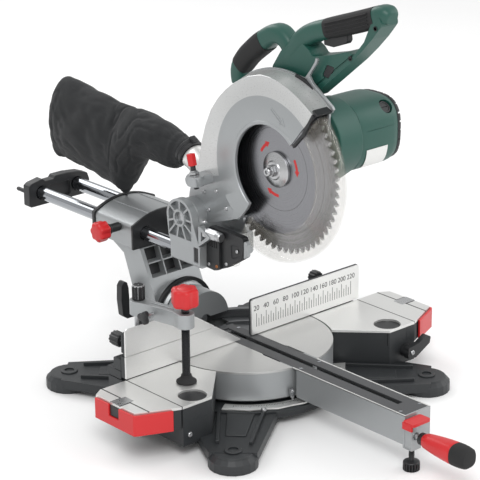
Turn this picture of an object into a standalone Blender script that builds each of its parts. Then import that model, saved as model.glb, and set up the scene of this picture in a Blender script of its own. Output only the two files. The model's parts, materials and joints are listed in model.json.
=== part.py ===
"""Sliding compound mitre saw, modelled from its driving dimensions.

Working frame, in millimetres: X to the user's right, Y away from the user, Z up. Its origin is where
the upright blade, the fence's front face and the table's top meet. One empty moves that frame to the
middle of the footprint on the ground, and each moving body has an empty on its joint's axis.
"""

from math import atan2, cos, pi, radians, sin

import bmesh
import bpy
from mathutils import Matrix, Vector

MM = 0.001
GAP = 0.3  # between pieces that touch

# Driving dimensions, in millimetres
TABLE_HEIGHT = 80
FRAME_SHIFT_Y = -11.5  # from the fence plane to the middle of the footprint box
TABLE_THICK = 4
BOX_BOTTOM = -62  # of the hollow boxes under the side tables
WING_REAR = 42
TURNTABLE_R, TURNTABLE_DEPTH = 131, 49
ARM_HALF, ARM_END, ARM_DEPTH = 25.5, -359, 45
WING_INNER_R, WING_OUTER_X = 134.5, 234
EXTENSION_X = 298
FOOT_X, FOOT_Y, FOOT_R = 196, 190, 36
KERF_LEFT, KERF_RIGHT = -4, 6
FENCE_LEFT, FENCE_RIGHT, FENCE_GAP = -234, 238, 10.5
LOWER_FENCE_H, UPPER_FENCE_H, RIGHT_FENCE_H = 35, 78.3, 58.2
RAIL_X, RAIL_Z, RAIL_R = 36, 127, 11
HOUSING_FRONT, HOUSING_REAR = 198, 294
RAIL_REAR = 472
PIVOT_Y, PIVOT_Z = 90, 183
BLADE_R, BLADE_Y, BLADE_Z = 127, -72, 287
MOTOR_Y, MOTOR_Z, MOTOR_R = -130, 340, 52
GUARD_R, GUARD_Z = 151, 282
GUARD_LEFT, GUARD_RIGHT = -22, 9
PORT_R = 19
HUB_R = 27
PULLEY_BIG, PULLEY_SMALL = 36.4, 12.4
CLAMP_POST = (-190, 22)
CLAMP_SPINDLE = (-174, -64)
ARM_LOW, ARM_HIGH = 86, 108  # the clamp's arm

GUARD_CENTRE = (BLADE_Y, GUARD_Z)
BLADE_CENTRE = (BLADE_Y, BLADE_Z)
MOTOR_CENTRE = (MOTOR_Y, MOTOR_Z)
PORT_PLACE = Matrix.Translation((0, 80, 243)) @ Matrix.Rotation(radians(-63.4), 4, "X")
STOP_PLACE = Matrix.Translation((-46, 48, 196)) @ Matrix.Rotation(radians(-14), 4, "X")

COLOURS = {
    "casting": ((0.36, 0.38, 0.39), 0.45, 0.6),
    "machined": ((0.75, 0.74, 0.72), 0.3, 0.9),
    "black": ((0.03, 0.032, 0.035), 0.5, 0.0),
    "steel": ((0.6, 0.61, 0.62), 0.28, 1.0),
    "chrome": ((0.8, 0.81, 0.82), 0.1, 1.0),
    "green": ((0.03, 0.13, 0.1), 0.45, 0.0),
    "red": ((0.75, 0.03, 0.03), 0.4, 0.0),
    "dark_grey": ((0.09, 0.09, 0.095), 0.5, 0.2),
    "rubber": ((0.02, 0.02, 0.02), 0.8, 0.0),
    "clear": ((0.8, 0.78, 0.72), 0.15, 0.0),
    "fabric": ((0.015, 0.015, 0.017), 0.9, 0.0),
    "copper": ((0.6, 0.28, 0.12), 0.35, 1.0),
}

BODIES = {}  # a body's name to its empty and pivot
MATERIALS = {}


# ---------------------------------------------------------------- frame, bodies and materials

def clear_scene():
    for obj in list(bpy.data.objects):
        bpy.data.objects.remove(obj, do_unlink=True)


def make_material(name):
    colour, roughness, metallic = COLOURS[name]
    material = bpy.data.materials.new(name)
    material.use_nodes = True
    shader = material.node_tree.nodes["Principled BSDF"]
    shader.inputs["Base Color"].default_value = (*colour, 1)
    shader.inputs["Roughness"].default_value = roughness
    shader.inputs["Metallic"].default_value = metallic
    return material


def make_body(name, parent, pivot=(0, 0, 0)):
    """An empty on a joint's axis. Pivots are in the working frame."""
    empty = bpy.data.objects.new(name + "_axis", None)
    bpy.context.collection.objects.link(empty)
    pivot = Vector(pivot)
    origin = Vector((0, 0, 0))
    if parent:
        empty.parent = BODIES[parent][0]
        origin = BODIES[parent][1]
    empty.location = (pivot - origin) * MM
    BODIES[name] = (empty, pivot)


def finish_part(name, bm, body, material, smooth=True):
    """The mesh, drawn in the working frame, becomes an object whose origin is its body's pivot."""
    empty, pivot = BODIES[body]
    bmesh.ops.transform(bm, matrix=Matrix.Translation(-pivot), verts=bm.verts)
    bmesh.ops.scale(bm, vec=(MM, MM, MM), verts=bm.verts)
    bmesh.ops.recalc_face_normals(bm, faces=bm.faces)
    mesh = bpy.data.meshes.new(name)
    bm.to_mesh(mesh)
    bm.free()
    if smooth:
        mesh.shade_smooth()
        mesh.set_sharp_from_angle(angle=radians(35))
    obj = bpy.data.objects.new(name, mesh)
    obj.parent = empty
    obj.data.materials.append(MATERIALS[material])
    bpy.context.collection.objects.link(obj)
    return obj


def boolean(obj, bm, operation):
    """Joins a helper solid to a piece, or cuts it away."""
    body = next(b for b in BODIES if BODIES[b][0] == obj.parent)
    number = len(obj.modifiers)
    helper = finish_part(f"{obj.name}_tool_{number}", bm, body, "black", smooth=False)
    helper.hide_render = True
    helper.display_type = "WIRE"
    modifier = obj.modifiers.new(f"{operation.lower()}_{number}", "BOOLEAN")
    modifier.operation = operation
    modifier.object = helper


def join(obj, *solids):
    for bm in solids:
        boolean(obj, bm, "UNION")


def cut(obj, *solids):
    for bm in solids:
        boolean(obj, bm, "DIFFERENCE")


# ---------------------------------------------------------------- basic shapes, in the working frame

def axis_matrix(axis):
    """Turns a shape that is drawn along Z so that it stands along X, Y or Z."""
    return {
        "X": Matrix(((0, 0, 1, 0), (1, 0, 0, 0), (0, 1, 0, 0), (0, 0, 0, 1))),
        "Y": Matrix(((0, 1, 0, 0), (0, 0, 1, 0), (1, 0, 0, 0), (0, 0, 0, 1))),
        "Z": Matrix.Identity(4),
    }[axis]


def prism(outline, low, high, axis="Z"):
    """An outline extruded from low to high along an axis. It is given in (X, Y) for Z, (Y, Z) for X
    and (Z, X) for Y."""
    bm = bmesh.new()
    bottom = [bm.verts.new((u, v, low)) for u, v in outline]
    face = bm.faces.new(bottom)
    raised = bmesh.ops.extrude_face_region(bm, geom=[face])["geom"]
    moved = [g for g in raised if isinstance(g, bmesh.types.BMVert)]
    bmesh.ops.translate(bm, vec=(0, 0, high - low), verts=moved)
    bmesh.ops.transform(bm, matrix=axis_matrix(axis), verts=bm.verts)
    bmesh.ops.recalc_face_normals(bm, faces=bm.faces)
    return bm


def front_prism(outline, near, far):
    """An outline in (X, Z), extruded from near to far along Y."""
    return prism([(z, x) for x, z in outline], near, far, "Y")


def block(low, high):
    (x0, y0, z0), (x1, y1, z1) = low, high
    return prism([(x0, y0), (x1, y0), (x1, y1), (x0, y1)], z0, z1)


def rounded_block(low, high, radius, segments=2):
    bm = block(low, high)
    bmesh.ops.bevel(bm, geom=bm.edges[:], offset=radius, segments=segments, profile=0.5, affect="EDGES")
    return bm


def turned(profile, centre, axis="Z", segments=32):
    """A solid of revolution from (radius, height) points, first and last on its axis or closed."""
    bm = bmesh.new()
    verts = [bm.verts.new((r, 0, h)) for r, h in profile]
    edges = [bm.edges.new((a, b)) for a, b in zip(verts, verts[1:])]
    if profile[0][0] > 0:
        edges.append(bm.edges.new((verts[-1], verts[0])))
    bmesh.ops.spin(
        bm, geom=verts + edges, cent=(0, 0, 0), axis=(0, 0, 1), angle=2 * pi, steps=segments, use_merge=True
    )
    bmesh.ops.remove_doubles(bm, verts=bm.verts, dist=1e-4)
    bmesh.ops.transform(bm, matrix=Matrix.Translation(centre) @ axis_matrix(axis), verts=bm.verts)
    bmesh.ops.recalc_face_normals(bm, faces=bm.faces)
    return bm


def cylinder(centre, axis, radius, low, high, segments=24):
    """centre gives the axis's place; low and high run along it."""
    return turned([(0, low), (radius, low), (radius, high), (0, high)], centre, axis, segments)


def ring(centre, axis, inner, outer, low, high, segments=32):
    return turned([(inner, low), (outer, low), (outer, high), (inner, high)], centre, axis, segments)


def arc(centre, radius, start, end, steps):
    """Points on an arc, with its angles in degrees from the first coordinate's axis."""
    u, v = centre
    angles = [radians(start + (end - start) * i / steps) for i in range(steps + 1)]
    return [(u + radius * cos(a), v + radius * sin(a)) for a in angles]


def link(first, first_r, second, second_r, steps):
    """The outline round two discs and the tangents that join them."""
    du, dv = second[0] - first[0], second[1] - first[1]
    ratio = (first_r - second_r) / (du * du + dv * dv) ** 0.5
    wrap = atan2((1 - ratio * ratio) ** 0.5, ratio) * 180 / pi
    lean = atan2(dv, du) * 180 / pi
    long_way = arc(first, first_r, lean + wrap, lean + 360 - wrap, steps)
    return long_way + arc(second, second_r, lean - wrap, lean + wrap, steps)


def ribbed_knob(centre, axis, radius, low, high, lobes=8, depth=1.5):
    """A grip knob: a round outline with shallow flutes."""
    points = []
    for i in range(lobes * 4):
        r = radius - depth * (i % 4 in (0, 3))
        points.append((r * cos(2 * pi * i / (lobes * 4)), r * sin(2 * pi * i / (lobes * 4))))
    bm = prism(points, low, high)
    bmesh.ops.transform(bm, matrix=Matrix.Translation(centre) @ axis_matrix(axis), verts=bm.verts)
    return bm


def loft(sections):
    """A closed skin through rings of equal point counts, capped at both ends."""
    bm = bmesh.new()
    rings = [[bm.verts.new(p) for p in section] for section in sections]
    count = len(rings[0])
    for first, second in zip(rings, rings[1:]):
        for i in range(count):
            k = (i + 1) % count
            bm.faces.new((first[i], first[k], second[k], second[i]))
    bm.faces.new(rings[0])
    bm.faces.new(rings[-1])
    bmesh.ops.recalc_face_normals(bm, faces=bm.faces)
    return bm


def mirrored(outline, side):
    """An outline drawn for the right side, on the right or the left."""
    return [(x * side, y) for x, y in outline]


# ---------------------------------------------------------------- base

WING_OUTLINE = (
    arc((0, 0), WING_INNER_R, -28, 18, 8)
    + [(128, WING_REAR), (WING_OUTER_X, WING_REAR), (WING_OUTER_X, -127), (180, -127)]
)
WING_HOLLOW = arc((0, 0), 142, -26, 14, 8) + [(138, 36), (228, 36), (228, -104), (168, -104)]


def build_base():
    """A dished disc, a box open below on each side, and four legs that end in round feet."""
    base = finish_part("base_casting", cylinder((0, 0, 0), "Z", 150, -68, -53, 40), "base", "black")
    cut(base, ring((0, 0, 0), "Z", 66, 143, -80, -58, 40))
    for side in (-1, 1):
        join(base, prism(mirrored(WING_OUTLINE, side), BOX_BOTTOM, -TABLE_THICK - GAP))
        cut(base, prism(mirrored(WING_HOLLOW, side), BOX_BOTTOM - 12, -10))
        for end in (-1, 1):
            foot = (side * FOOT_X, end * FOOT_Y)
            root_y = end * 60
            leg = [
                (side * 40, root_y + end * 60),
                (side * 40, root_y - end * 20),
                (side * 150, root_y - end * 40),
                (side * FOOT_X + side * 30, end * FOOT_Y - end * 18),
                (side * FOOT_X - side * 20, end * FOOT_Y + end * 29),
            ]
            join(base, prism(leg, -72, -57.5))
            profile = [(0, -80), (FOOT_R, -80), (FOOT_R, -66), (FOOT_R - 8, -58), (0, -58)]
            join(base, turned(profile, (*foot, 0), "Z", 20))
    join(base, cylinder((0, 0, 0), "Z", 60, -72, -66, 32))
    join(base, cylinder((*CLAMP_POST, 0), "Z", 13, BOX_BOTTOM, -6, 16))
    for side in (-1, 1):
        cut(base, cylinder((side * 197, -131, 0), "Z", 21, -26, 10, 20))
        for y in (-70, -20):
            cut(base, cylinder((0, y, -24), "X", 6.4, *sorted((side * 142, side * 260)), 16))
    cut(base, cylinder((CLAMP_POST[0], CLAMP_POST[1], 0), "Z", 7.4, -40, 10, 16))


def build_tables():
    for side, name in ((-1, "left_table"), (1, "right_table")):
        outline = mirrored(
            arc((0, 0), WING_INNER_R, -28, 0, 6) + [(WING_OUTER_X, 0), (WING_OUTER_X, -127), (180, -127)], side
        )
        table = finish_part(name, prism(outline, -TABLE_THICK, 0), "base", "machined")
        cut(table, cylinder((side * 197, -131, 0), "Z", 21, -26, 10, 20))


def build_mitre_scale():
    outline = arc((0, 0), 152, -146, -34, 16) + arc((0, 0), 133, -34, -146, 16)
    finish_part("mitre_scale", prism(outline, -52.6, -50), "base", "steel")


def build_fences():
    left_end, tip = FENCE_LEFT, -FENCE_GAP
    slope = (UPPER_FENCE_H - 1) / 113.5
    join_x = tip - (LOWER_FENCE_H - 1) / slope
    top_x = tip - (UPPER_FENCE_H - 1) / slope
    lower = [(left_end, 1), (tip, 1), (join_x, LOWER_FENCE_H), (left_end, LOWER_FENCE_H)]
    fence = finish_part("left_fence_lower", front_prism(lower, 0.3, 8), "base", "machined", smooth=False)
    join(fence, block((left_end + 2, 6, GAP), (-150, 12, 30)))
    cut(fence, cylinder((-120, 0, 18), "Y", 4, -5, 12, 12))
    upper_low = LOWER_FENCE_H + GAP * 2
    upper = [(left_end, upper_low), (join_x - 1, upper_low), (top_x, UPPER_FENCE_H), (left_end, UPPER_FENCE_H)]
    slide = finish_part(
        "left_fence_upper", front_prism(upper, 0.3, 7), "left_fence", "machined", smooth=False
    )
    join(slide, block((left_end + 4, 5, 40), (-150, 11, 72)))
    right = [
        (FENCE_GAP, 1), (FENCE_RIGHT, 1), (FENCE_RIGHT, RIGHT_FENCE_H), (FENCE_GAP, RIGHT_FENCE_H)
    ]
    finish_part(
        "right_fence", front_prism(right, 0.3, 6.5), "right_fence", "machined", smooth=False
    )
    carrier = finish_part(
        "right_fence_carrier", block((150, 7, 0.6), (228, 14, 40)), "base", "black", smooth=False
    )
    join(carrier, block((150, 12, 0.6), (228, 40, 6)))
    cut(carrier, cylinder((178, 0, 26), "Y", 4.4, 0, 60, 12))
    knob = finish_part(
        "right_fence_knob", ribbed_knob((178, 0, 26), "Y", 11, 15, 33), "right_fence_knob", "black"
    )
    join(knob, cylinder((178, 0, 26), "Y", 4, 8.2, 20, 12))
    left_knob = finish_part(
        "left_fence_knob", ribbed_knob((-222, 0, 52), "Y", 11, 22, 42), "left_fence_knob", "black"
    )
    join(left_knob, cylinder((-222, 0, 52), "Y", 4, 11.4, 30, 12))


# ---------------------------------------------------------------- table extensions

EXTENSION_OUTLINE = [
    (WING_OUTER_X + 0.8, 0), (WING_OUTER_X + 0.8, -126), (EXTENSION_X - 62, -126), (EXTENSION_X, -98),
    (EXTENSION_X, -10), (EXTENSION_X - 16, 0),
]
CAP_OUTLINE = [
    (EXTENSION_X + 0.4, -12), (EXTENSION_X + 0.4, -98.6), (EXTENSION_X - 50, -121.2), (EXTENSION_X - 49, -124.2),
    (EXTENSION_X + 4, -100), (EXTENSION_X + 4, -12),
]


def build_extension(side, name):
    body = name + "_extension"
    outline = mirrored(EXTENSION_OUTLINE, side)
    extension = finish_part(body, prism(outline, -TABLE_THICK, 0), body, "machined")
    inner = [(x - 3 * (x > 290), y) for x, y in EXTENSION_OUTLINE]
    join(extension, prism(mirrored(inner, side), -38, -TABLE_THICK + 0.5))
    for y in (-70, -20):
        join(extension, cylinder((0, y, -24), "X", 6, *sorted((side * 146, side * 240)), 16))
    cut(extension, prism(mirrored([(EXTENSION_X + 9, -130), (EXTENSION_X + 9, 20), (EXTENSION_X - 8, 20),
                                   (EXTENSION_X - 8, -130)], side), -60, -30))
    cap = prism(mirrored(CAP_OUTLINE, side), -34, -3)
    finish_part(name + "_end_cap", cap, body, "red", smooth=False)


def build_lock_lever(side, name):
    """The wing lever that clamps an extension, on the box's front face."""
    x, y, z = side * 212, -127.3, -40
    lever = finish_part(name, cylinder((x, 0, z), "Y", 10, y - 10, y, 16), name, "black")
    wing = [(-6, -5), (34, 8), (36, 17), (28, 20), (-6, 8)]
    bm = front_prism([(x + side * u, z + v) for u, v in wing], y - 17, y - 8)
    join(lever, bm)


# ---------------------------------------------------------------- workpiece clamp

def build_clamp():
    px, py = CLAMP_POST
    sx, sy = CLAMP_SPINDLE
    post = finish_part("clamp_post", cylinder((px, py, 0), "Z", 7, -38, 112, 16), "base", "steel")
    join(post, ribbed_knob((px, py, 0), "Z", 9, 111, 131, 10, 1))
    length = Vector((sx - px, sy - py)).length
    turn = atan2(sy - py, sx - px)
    along = [(-14, -10), (14, -11), (length + 11, -11), (length + 11, 11), (14, 11), (-14, 10)]
    outline = [
        (px + u * cos(turn) - v * sin(turn), py + u * sin(turn) + v * cos(turn)) for u, v in along
    ]
    arm = finish_part("clamp_arm", prism(outline, ARM_LOW, ARM_HIGH), "clamp_arm", "steel")
    cut(arm, cylinder((px, py, 0), "Z", 7.4, 60, 130, 16))
    cut(arm, cylinder((sx, sy, 0), "Z", 6.4, 60, 130, 16))
    screw = finish_part(
        "clamp_wing_screw", ribbed_knob((0, py - 38, 97), "X", 8, -216, -206, 3, 4), "clamp_wing_screw", "black"
    )
    join(screw, cylinder((0, py - 38, 97), "X", 3, -208, -195.2, 10))
    spindle = finish_part(
        "clamp_spindle", cylinder((sx, sy, 0), "Z", 6, 12, 124, 16), "clamp_spindle", "rubber"
    )
    join(spindle, cylinder((sx, sy, 0), "Z", 3, 4.5, 13, 12))
    pad = [(0, GAP), (15, GAP), (15, 3), (8, 9), (8, 11.7), (3.4, 11.7), (3.4, 4.2), (0, 4.2)]
    finish_part("clamp_pad", turned(pad, (sx, sy, 0), "Z", 24), "clamp_spindle", "rubber")
    knob = finish_part("clamp_knob", ribbed_knob((sx, sy, 0), "Z", 20, 118, 146, 6, 3), "clamp_spindle", "red")
    cut(knob, cylinder((sx, sy, 0), "Z", 6.3, 110, 124.3, 16))


# ---------------------------------------------------------------- turntable

def build_turntable():
    """A disc hollowed from below on each side of its arm, with a round boss at the rear for the tilt."""
    table = finish_part(
        "turntable", cylinder((0, 0, 0), "Z", TURNTABLE_R, -TURNTABLE_DEPTH, 0, 64), "turntable", "casting"
    )
    join(table, block((-ARM_HALF, ARM_END, -ARM_DEPTH), (ARM_HALF, -100, 0)))
    join(table, cylinder((0, 0, 0), "Y", 47, 100, 140, 33))
    cut(table, block((-ARM_HALF + 2.5, ARM_END + 3, -3), (ARM_HALF - 2.5, 60, 5)))
    cut(table, block((-14, ARM_END + 25, -20), (14, 55, 0)))
    for side in (-1, 1):
        hollow = mirrored(arc((0, 0), 124, -72, 50, 16) + [(53, 95), (33, 88)], side)
        cut(table, prism(hollow, -TURNTABLE_DEPTH - 10, -7))
    cut(table, cylinder((0, 0, 0), "Y", 10.4, 90, 160, 20))
    plate = finish_part(
        "kerf_plate", block((-ARM_HALF + 3, ARM_END + 3.5, -2.7), (ARM_HALF - 3, 59.5, -0.2)), "turntable", "dark_grey"
    )
    cut(plate, block((KERF_LEFT, ARM_END + 35, -5), (KERF_RIGHT, 50, 5)))
    pointer = finish_part("mitre_pointer", block((-34, -137, -49.4), (-28, -131.3, -38)), "turntable", "copper")
    join(pointer, front_prism([(-33, -43), (-29, -43), (-31, -49.2)], -140, -136))


def build_mitre_lock():
    bx = -20
    front = ARM_END - GAP
    body = finish_part(
        "handle_block", block((bx - 10, front - 17, -48), (bx + 10, front, -9)), "turntable", "casting"
    )
    cut(body, cylinder((bx, 0, -27), "Y", 5.4, front - 30, front + 5, 16))
    rod = finish_part(
        "lock_rod", cylinder((bx, 0, -27), "Y", 5, ARM_END - 25.5, ARM_END - 0.8, 12), "mitre_handle", "steel"
    )
    join(rod, cylinder((bx, 0, -27), "Y", 3.5, ARM_END - 60, ARM_END - 24, 12))
    grip = [
        (3.9, -385), (11, -385), (13, -395), (16, -420), (17, -446), (15, -470), (11, -477), (0, -477),
        (0, -421), (3.9, -421),
    ]
    finish_part("handle_grip", turned(grip, (bx, 0, -27), "Y", 20), "mitre_handle", "red")
    lever = finish_part(
        "detent_lever", block((bx - 12, front - 24, -8.5), (bx + 22, front - 1.5, -5)), "detent_lever", "red"
    )
    join(lever, block((bx - 14, front - 20, -16), (bx - 10.6, front - 1.5, -6)))
    cut(body, cylinder((bx, front - 8.5, 0), "Z", 4.4, -60, -33, 14))
    foot = [(0, -80), (12, -80), (12, -68), (8, -66), (4, -66), (4, -46), (0, -46)]
    finish_part(
        "adjustable_foot", turned(foot, (bx, front - 8.5, 0), "Z", 20), "adjustable_foot", "black"
    )


# ---------------------------------------------------------------- bevel arm and slide housing

def build_bevel_arm():
    side = [(200, 0), (210, 31), (217, 50), (232, 88), (HOUSING_REAR - 25, 106), (HOUSING_REAR - 25, 130),
            (HOUSING_FRONT + 1, 130), (HOUSING_FRONT + 1, 104.4), (192, 104.4), (160, 36), (150, 4), (150, 0)]
    arm = finish_part("bevel_arm", prism(side, -50, 50, "X"), "bevel_arm", "casting")
    top = [(-60, 106), (60, 106), (60, 143)] + arc((0, 40), 118, 68, 112, 8) + [(-60, 143)]
    join(arm, front_prism(top, HOUSING_FRONT, HOUSING_REAR - 4))
    join(arm, cylinder((0, 0, 0), "Y", 50, 141, 200, 40))
    recess = [(HOUSING_FRONT - 60, 104), (HOUSING_FRONT - 60, 60), (188, 60), (205, 104)]
    cut(arm, prism(recess, -42, 42, "X"))
    join(arm, block((-3, 168, 56), (3, 193, 104)))
    for x in (-RAIL_X, RAIL_X):
        cut(arm, cylinder((x, 0, RAIL_Z), "Y", RAIL_R + GAP, 180, 320, 24))
    cut(arm, cylinder((0, 0, 0), "Y", 10.4, 120, 188, 20))
    cut(arm, cylinder((0, 228, 136), "X", 4.6, -80, -30, 12))
    bolt = [(0, 104), (10, 104), (10, 180), (0, 180)]
    finish_part("bevel_pivot_bolt", turned(bolt, (0, 0, 0), "Y", 20), "turntable", "steel")


def build_housing_covers():
    outline = [(-62, 104.8), (62, 104.8), (62, 144)] + arc((0, 40), 120, 68, 112, 8) + [(-62, 144)]
    for name, near, far in (
        ("front_cover", HOUSING_FRONT - 4, HOUSING_FRONT - GAP),
        ("rear_cover", HOUSING_REAR - 4 + GAP, HOUSING_REAR + 2),
    ):
        cover = finish_part(name, front_prism(outline, near, far), "bevel_arm", "black", smooth=False)
        for x in (-RAIL_X, RAIL_X):
            cut(cover, cylinder((x, 0, RAIL_Z), "Y", RAIL_R + 0.6, near - 5, far + 5, 24))


def build_slide_lock():
    knob = finish_part(
        "slide_lock_knob", ribbed_knob((0, 228, 136), "X", 20, -112, -84, 6, 3), "slide_lock", "red"
    )
    join(knob, cylinder((0, 228, 136), "X", 7, -86, -62, 16), cylinder((0, 228, 136), "X", 4, -64, -55, 12))


def build_bevel_lever():
    lever = finish_part(
        "bevel_lock_lever", cylinder((0, 0, 0), "Y", 16, 206, 222, 20), "bevel_lever", "black"
    )
    handle = [(0, -9), (-72, -9), (-76, 44), (-68, 50), (-63, 40), (-61, 9), (0, 9)]
    join(lever, front_prism(handle, 208, 220))


# ---------------------------------------------------------------- rails and head bracket

def build_rails():
    for x, name in ((-RAIL_X, "left_rail"), (RAIL_X, "right_rail")):
        finish_part(name, ring((x, 0, RAIL_Z), "Y", RAIL_R - 3, RAIL_R, 60, RAIL_REAR, 24), "carriage", "chrome")
    cap = finish_part(
        "rail_end_cap", rounded_block((-62, RAIL_REAR - 8, 105), (62, RAIL_REAR + 8, 150), 5), "carriage", "black"
    )
    join(cap, cylinder((-40, 0, 132), "Y", 4, RAIL_REAR, RAIL_REAR + 28, 12))
    for x in (-RAIL_X, RAIL_X):
        cut(cap, cylinder((x, 0, RAIL_Z), "Y", RAIL_R + GAP, RAIL_REAR - 20, RAIL_REAR + GAP, 24))


def build_bracket():
    """Two clamped lower blocks on the rails, a web at the rear and two ears round the hinge pin."""
    bracket = finish_part("head_bracket", block((-54, 44, 113), (54, 112, 150)), "carriage", "casting")
    lug = arc((PIVOT_Y, PIVOT_Z), 30, 0, 180, 14) + [(46, 148), (46, 140), (112, 140), (116, 150)]
    for x0, x1 in ((-54, -42), (42, 54)):
        join(bracket, prism(lug, x0, x1, "X"))
    cut(bracket, block((-24.5, 30, 100), (24.5, 92, 160)))
    for x in (-RAIL_X, RAIL_X):
        cut(bracket, cylinder((x, 0, RAIL_Z), "Y", RAIL_R + GAP, 60 - GAP, 130, 24))
    cut(bracket, cylinder((0, PIVOT_Y, PIVOT_Z), "X", 9.3, -60, 60, 20))
    pin = cylinder((0, PIVOT_Y, PIVOT_Z), "X", 9, -50, 50, 20)
    finish_part("pivot_pin", pin, "carriage", "steel")
    lamp = [(43, 114), (26, 113), (0, 124), (-30, 144), (-33, 178), (43, 178)]
    light = finish_part("light_box", prism(lamp, -36, -24.5, "X"), "carriage", "black", smooth=False)
    join(light, prism([(43, 113.6), (18, 114), (14, 174), (43, 174)], -41, -28, "X"))


# ---------------------------------------------------------------- saw head

def port_bore():
    """The way through the castings for the dust port's tube."""
    bore = turned([(0, -12), (PORT_R + GAP, -12), (PORT_R + GAP, 80), (0, 80)], (0, 0, 0), "Z", 24)
    bmesh.ops.transform(bore, matrix=PORT_PLACE, verts=bore.verts)
    return bore


def build_upper_guard():
    """A thin casting open to the right and below: its rim, its left wall with the round opening over
    the blade's middle, and a tail with a pocket that reaches back to the hinge."""
    outline = arc(GUARD_CENTRE, GUARD_R, 129, 0, 20)
    outline += [(86, 258), (99, 236), (107, 208), (107, 182), (88, 170), (58, 176), (20, 187), (-8, 199)]
    outline += arc(BLADE_CENTRE, 71, -58, 138, 16)
    guard = finish_part("upper_guard", prism(outline, GUARD_LEFT, GUARD_RIGHT, "X"), "head", "casting")
    chamber = [(-200, 150)] + arc(GUARD_CENTRE, GUARD_R - 3.5, 150, -45, 24) + [(30, 150)]
    cut(guard, prism(chamber, GUARD_LEFT + 2.8, GUARD_RIGHT + 5, "X"))
    pocket = [(80, 262), (93, 236), (100, 220), (68, 212), (56, 192), (44, 189), (50, 215), (72, 240)]
    cut(guard, prism(pocket, GUARD_LEFT + 3, GUARD_RIGHT + 5, "X"))
    cut(guard, cylinder((0, PIVOT_Y, PIVOT_Z), "X", HUB_R + GAP, -60, 60, 28))
    cut(guard, port_bore())
    join(guard, block((-55, 49, 242), (GUARD_LEFT + 2, 72, 255)))
    bore = turned([(0, 20), (4.4, 20), (4.4, 90), (0, 90)], (0, 0, 0), "Z", 14)
    bmesh.ops.transform(bore, matrix=STOP_PLACE, verts=bore.verts)
    cut(guard, bore)


def build_drive_case():
    """The casting on the motor's side: the guard's back plate, the belt's box and the hinge hub."""
    plate = arc(GUARD_CENTRE, GUARD_R - 1, 129, 0, 20)
    plate += [(86, 258), (99, 236), (107, 208), (100, 183), (58, 177), (20, 200), (-6, 228)]
    plate += [(-40, 240), (-104, 240), (-132, 262), (-172, 330)]
    case = finish_part("drive_case", prism(plate, GUARD_RIGHT + GAP, 14, "X"), "head", "casting")
    join(case, prism(link(BLADE_CENTRE, 50, MOTOR_CENTRE, 58, 12), 12, 40, "X"))
    arm = [(-40, 245), (58, 172), (78, 158), (104, 160), (112, 190), (104, 214), (86, 260), (-20, 330)]
    join(case, prism(arm, 12, 23.4, "X"))
    join(case, cylinder((0, PIVOT_Y, PIVOT_Z), "X", HUB_R, -40, 40, 28))
    cut(case, prism(link(BLADE_CENTRE, 44, MOTOR_CENTRE, 48, 12), 18, 45, "X"))
    cut(case, cylinder((0, PIVOT_Y, PIVOT_Z), "X", 9.4, -60, 60, 20))
    cut(case, cylinder((0, *BLADE_CENTRE), "X", 15.6, 0, 30, 24))
    cut(case, ring((0, PIVOT_Y, PIVOT_Z), "X", 12, 22, 30, 60, 24))
    cut(case, port_bore())
    coil = ring((0, PIVOT_Y, PIVOT_Z), "X", 13, 21, 30.6, 39, 20)
    finish_part("return_spring", coil, "head", "steel")
    cover = finish_part(
        "belt_cover", prism(link(BLADE_CENTRE, 50, MOTOR_CENTRE, 58, 12), 40 + GAP, 57.7, "X"), "head", "black"
    )
    cut(cover, cylinder((0, *MOTOR_CENTRE), "X", 9, 30, 70, 20))
    cut(cover, prism(link(BLADE_CENTRE, 45, MOTOR_CENTRE, 50, 12), 35, 53, "X"))


def build_motor():
    mid = (0, *MOTOR_CENTRE)
    shell = [(9, 58), (48, 58), (MOTOR_R, 66), (MOTOR_R, 128), (49, 136), (45, 136), (MOTOR_R - 5, 126),
             (MOTOR_R - 5, 70), (44, 63), (9, 63)]
    finish_part("motor_housing", turned(shell, mid, "X", 36), "head", "green")
    cap = [(0, 150), (40, 150), (49, 143), (49, 136.4), (10, 136.4), (10, 130), (6, 130), (6, 142), (0, 142)]
    finish_part("motor_end_cap", turned(cap, mid, "X", 36), "head", "black")
    rotor = [(0, 20), (PULLEY_SMALL - 0.4, 20), (PULLEY_SMALL - 0.4, 34), (6, 34), (6, 78), (32, 78),
             (32, 112), (6, 112), (6, 118), (18, 118), (18, 127), (5.6, 127), (5.6, 140), (0, 140)]
    finish_part("armature", turned(rotor, mid, "X", 24), "armature", "copper")


def build_belt():
    loop = link(BLADE_CENTRE, PULLEY_BIG + 2.4, MOTOR_CENTRE, PULLEY_SMALL + 2.4, 16)
    belt = finish_part("drive_belt", prism(loop, 22, 32, "X"), "head", "rubber")
    cut(belt, prism(link(BLADE_CENTRE, PULLEY_BIG, MOTOR_CENTRE, PULLEY_SMALL, 16), 20, 34, "X"))


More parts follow.
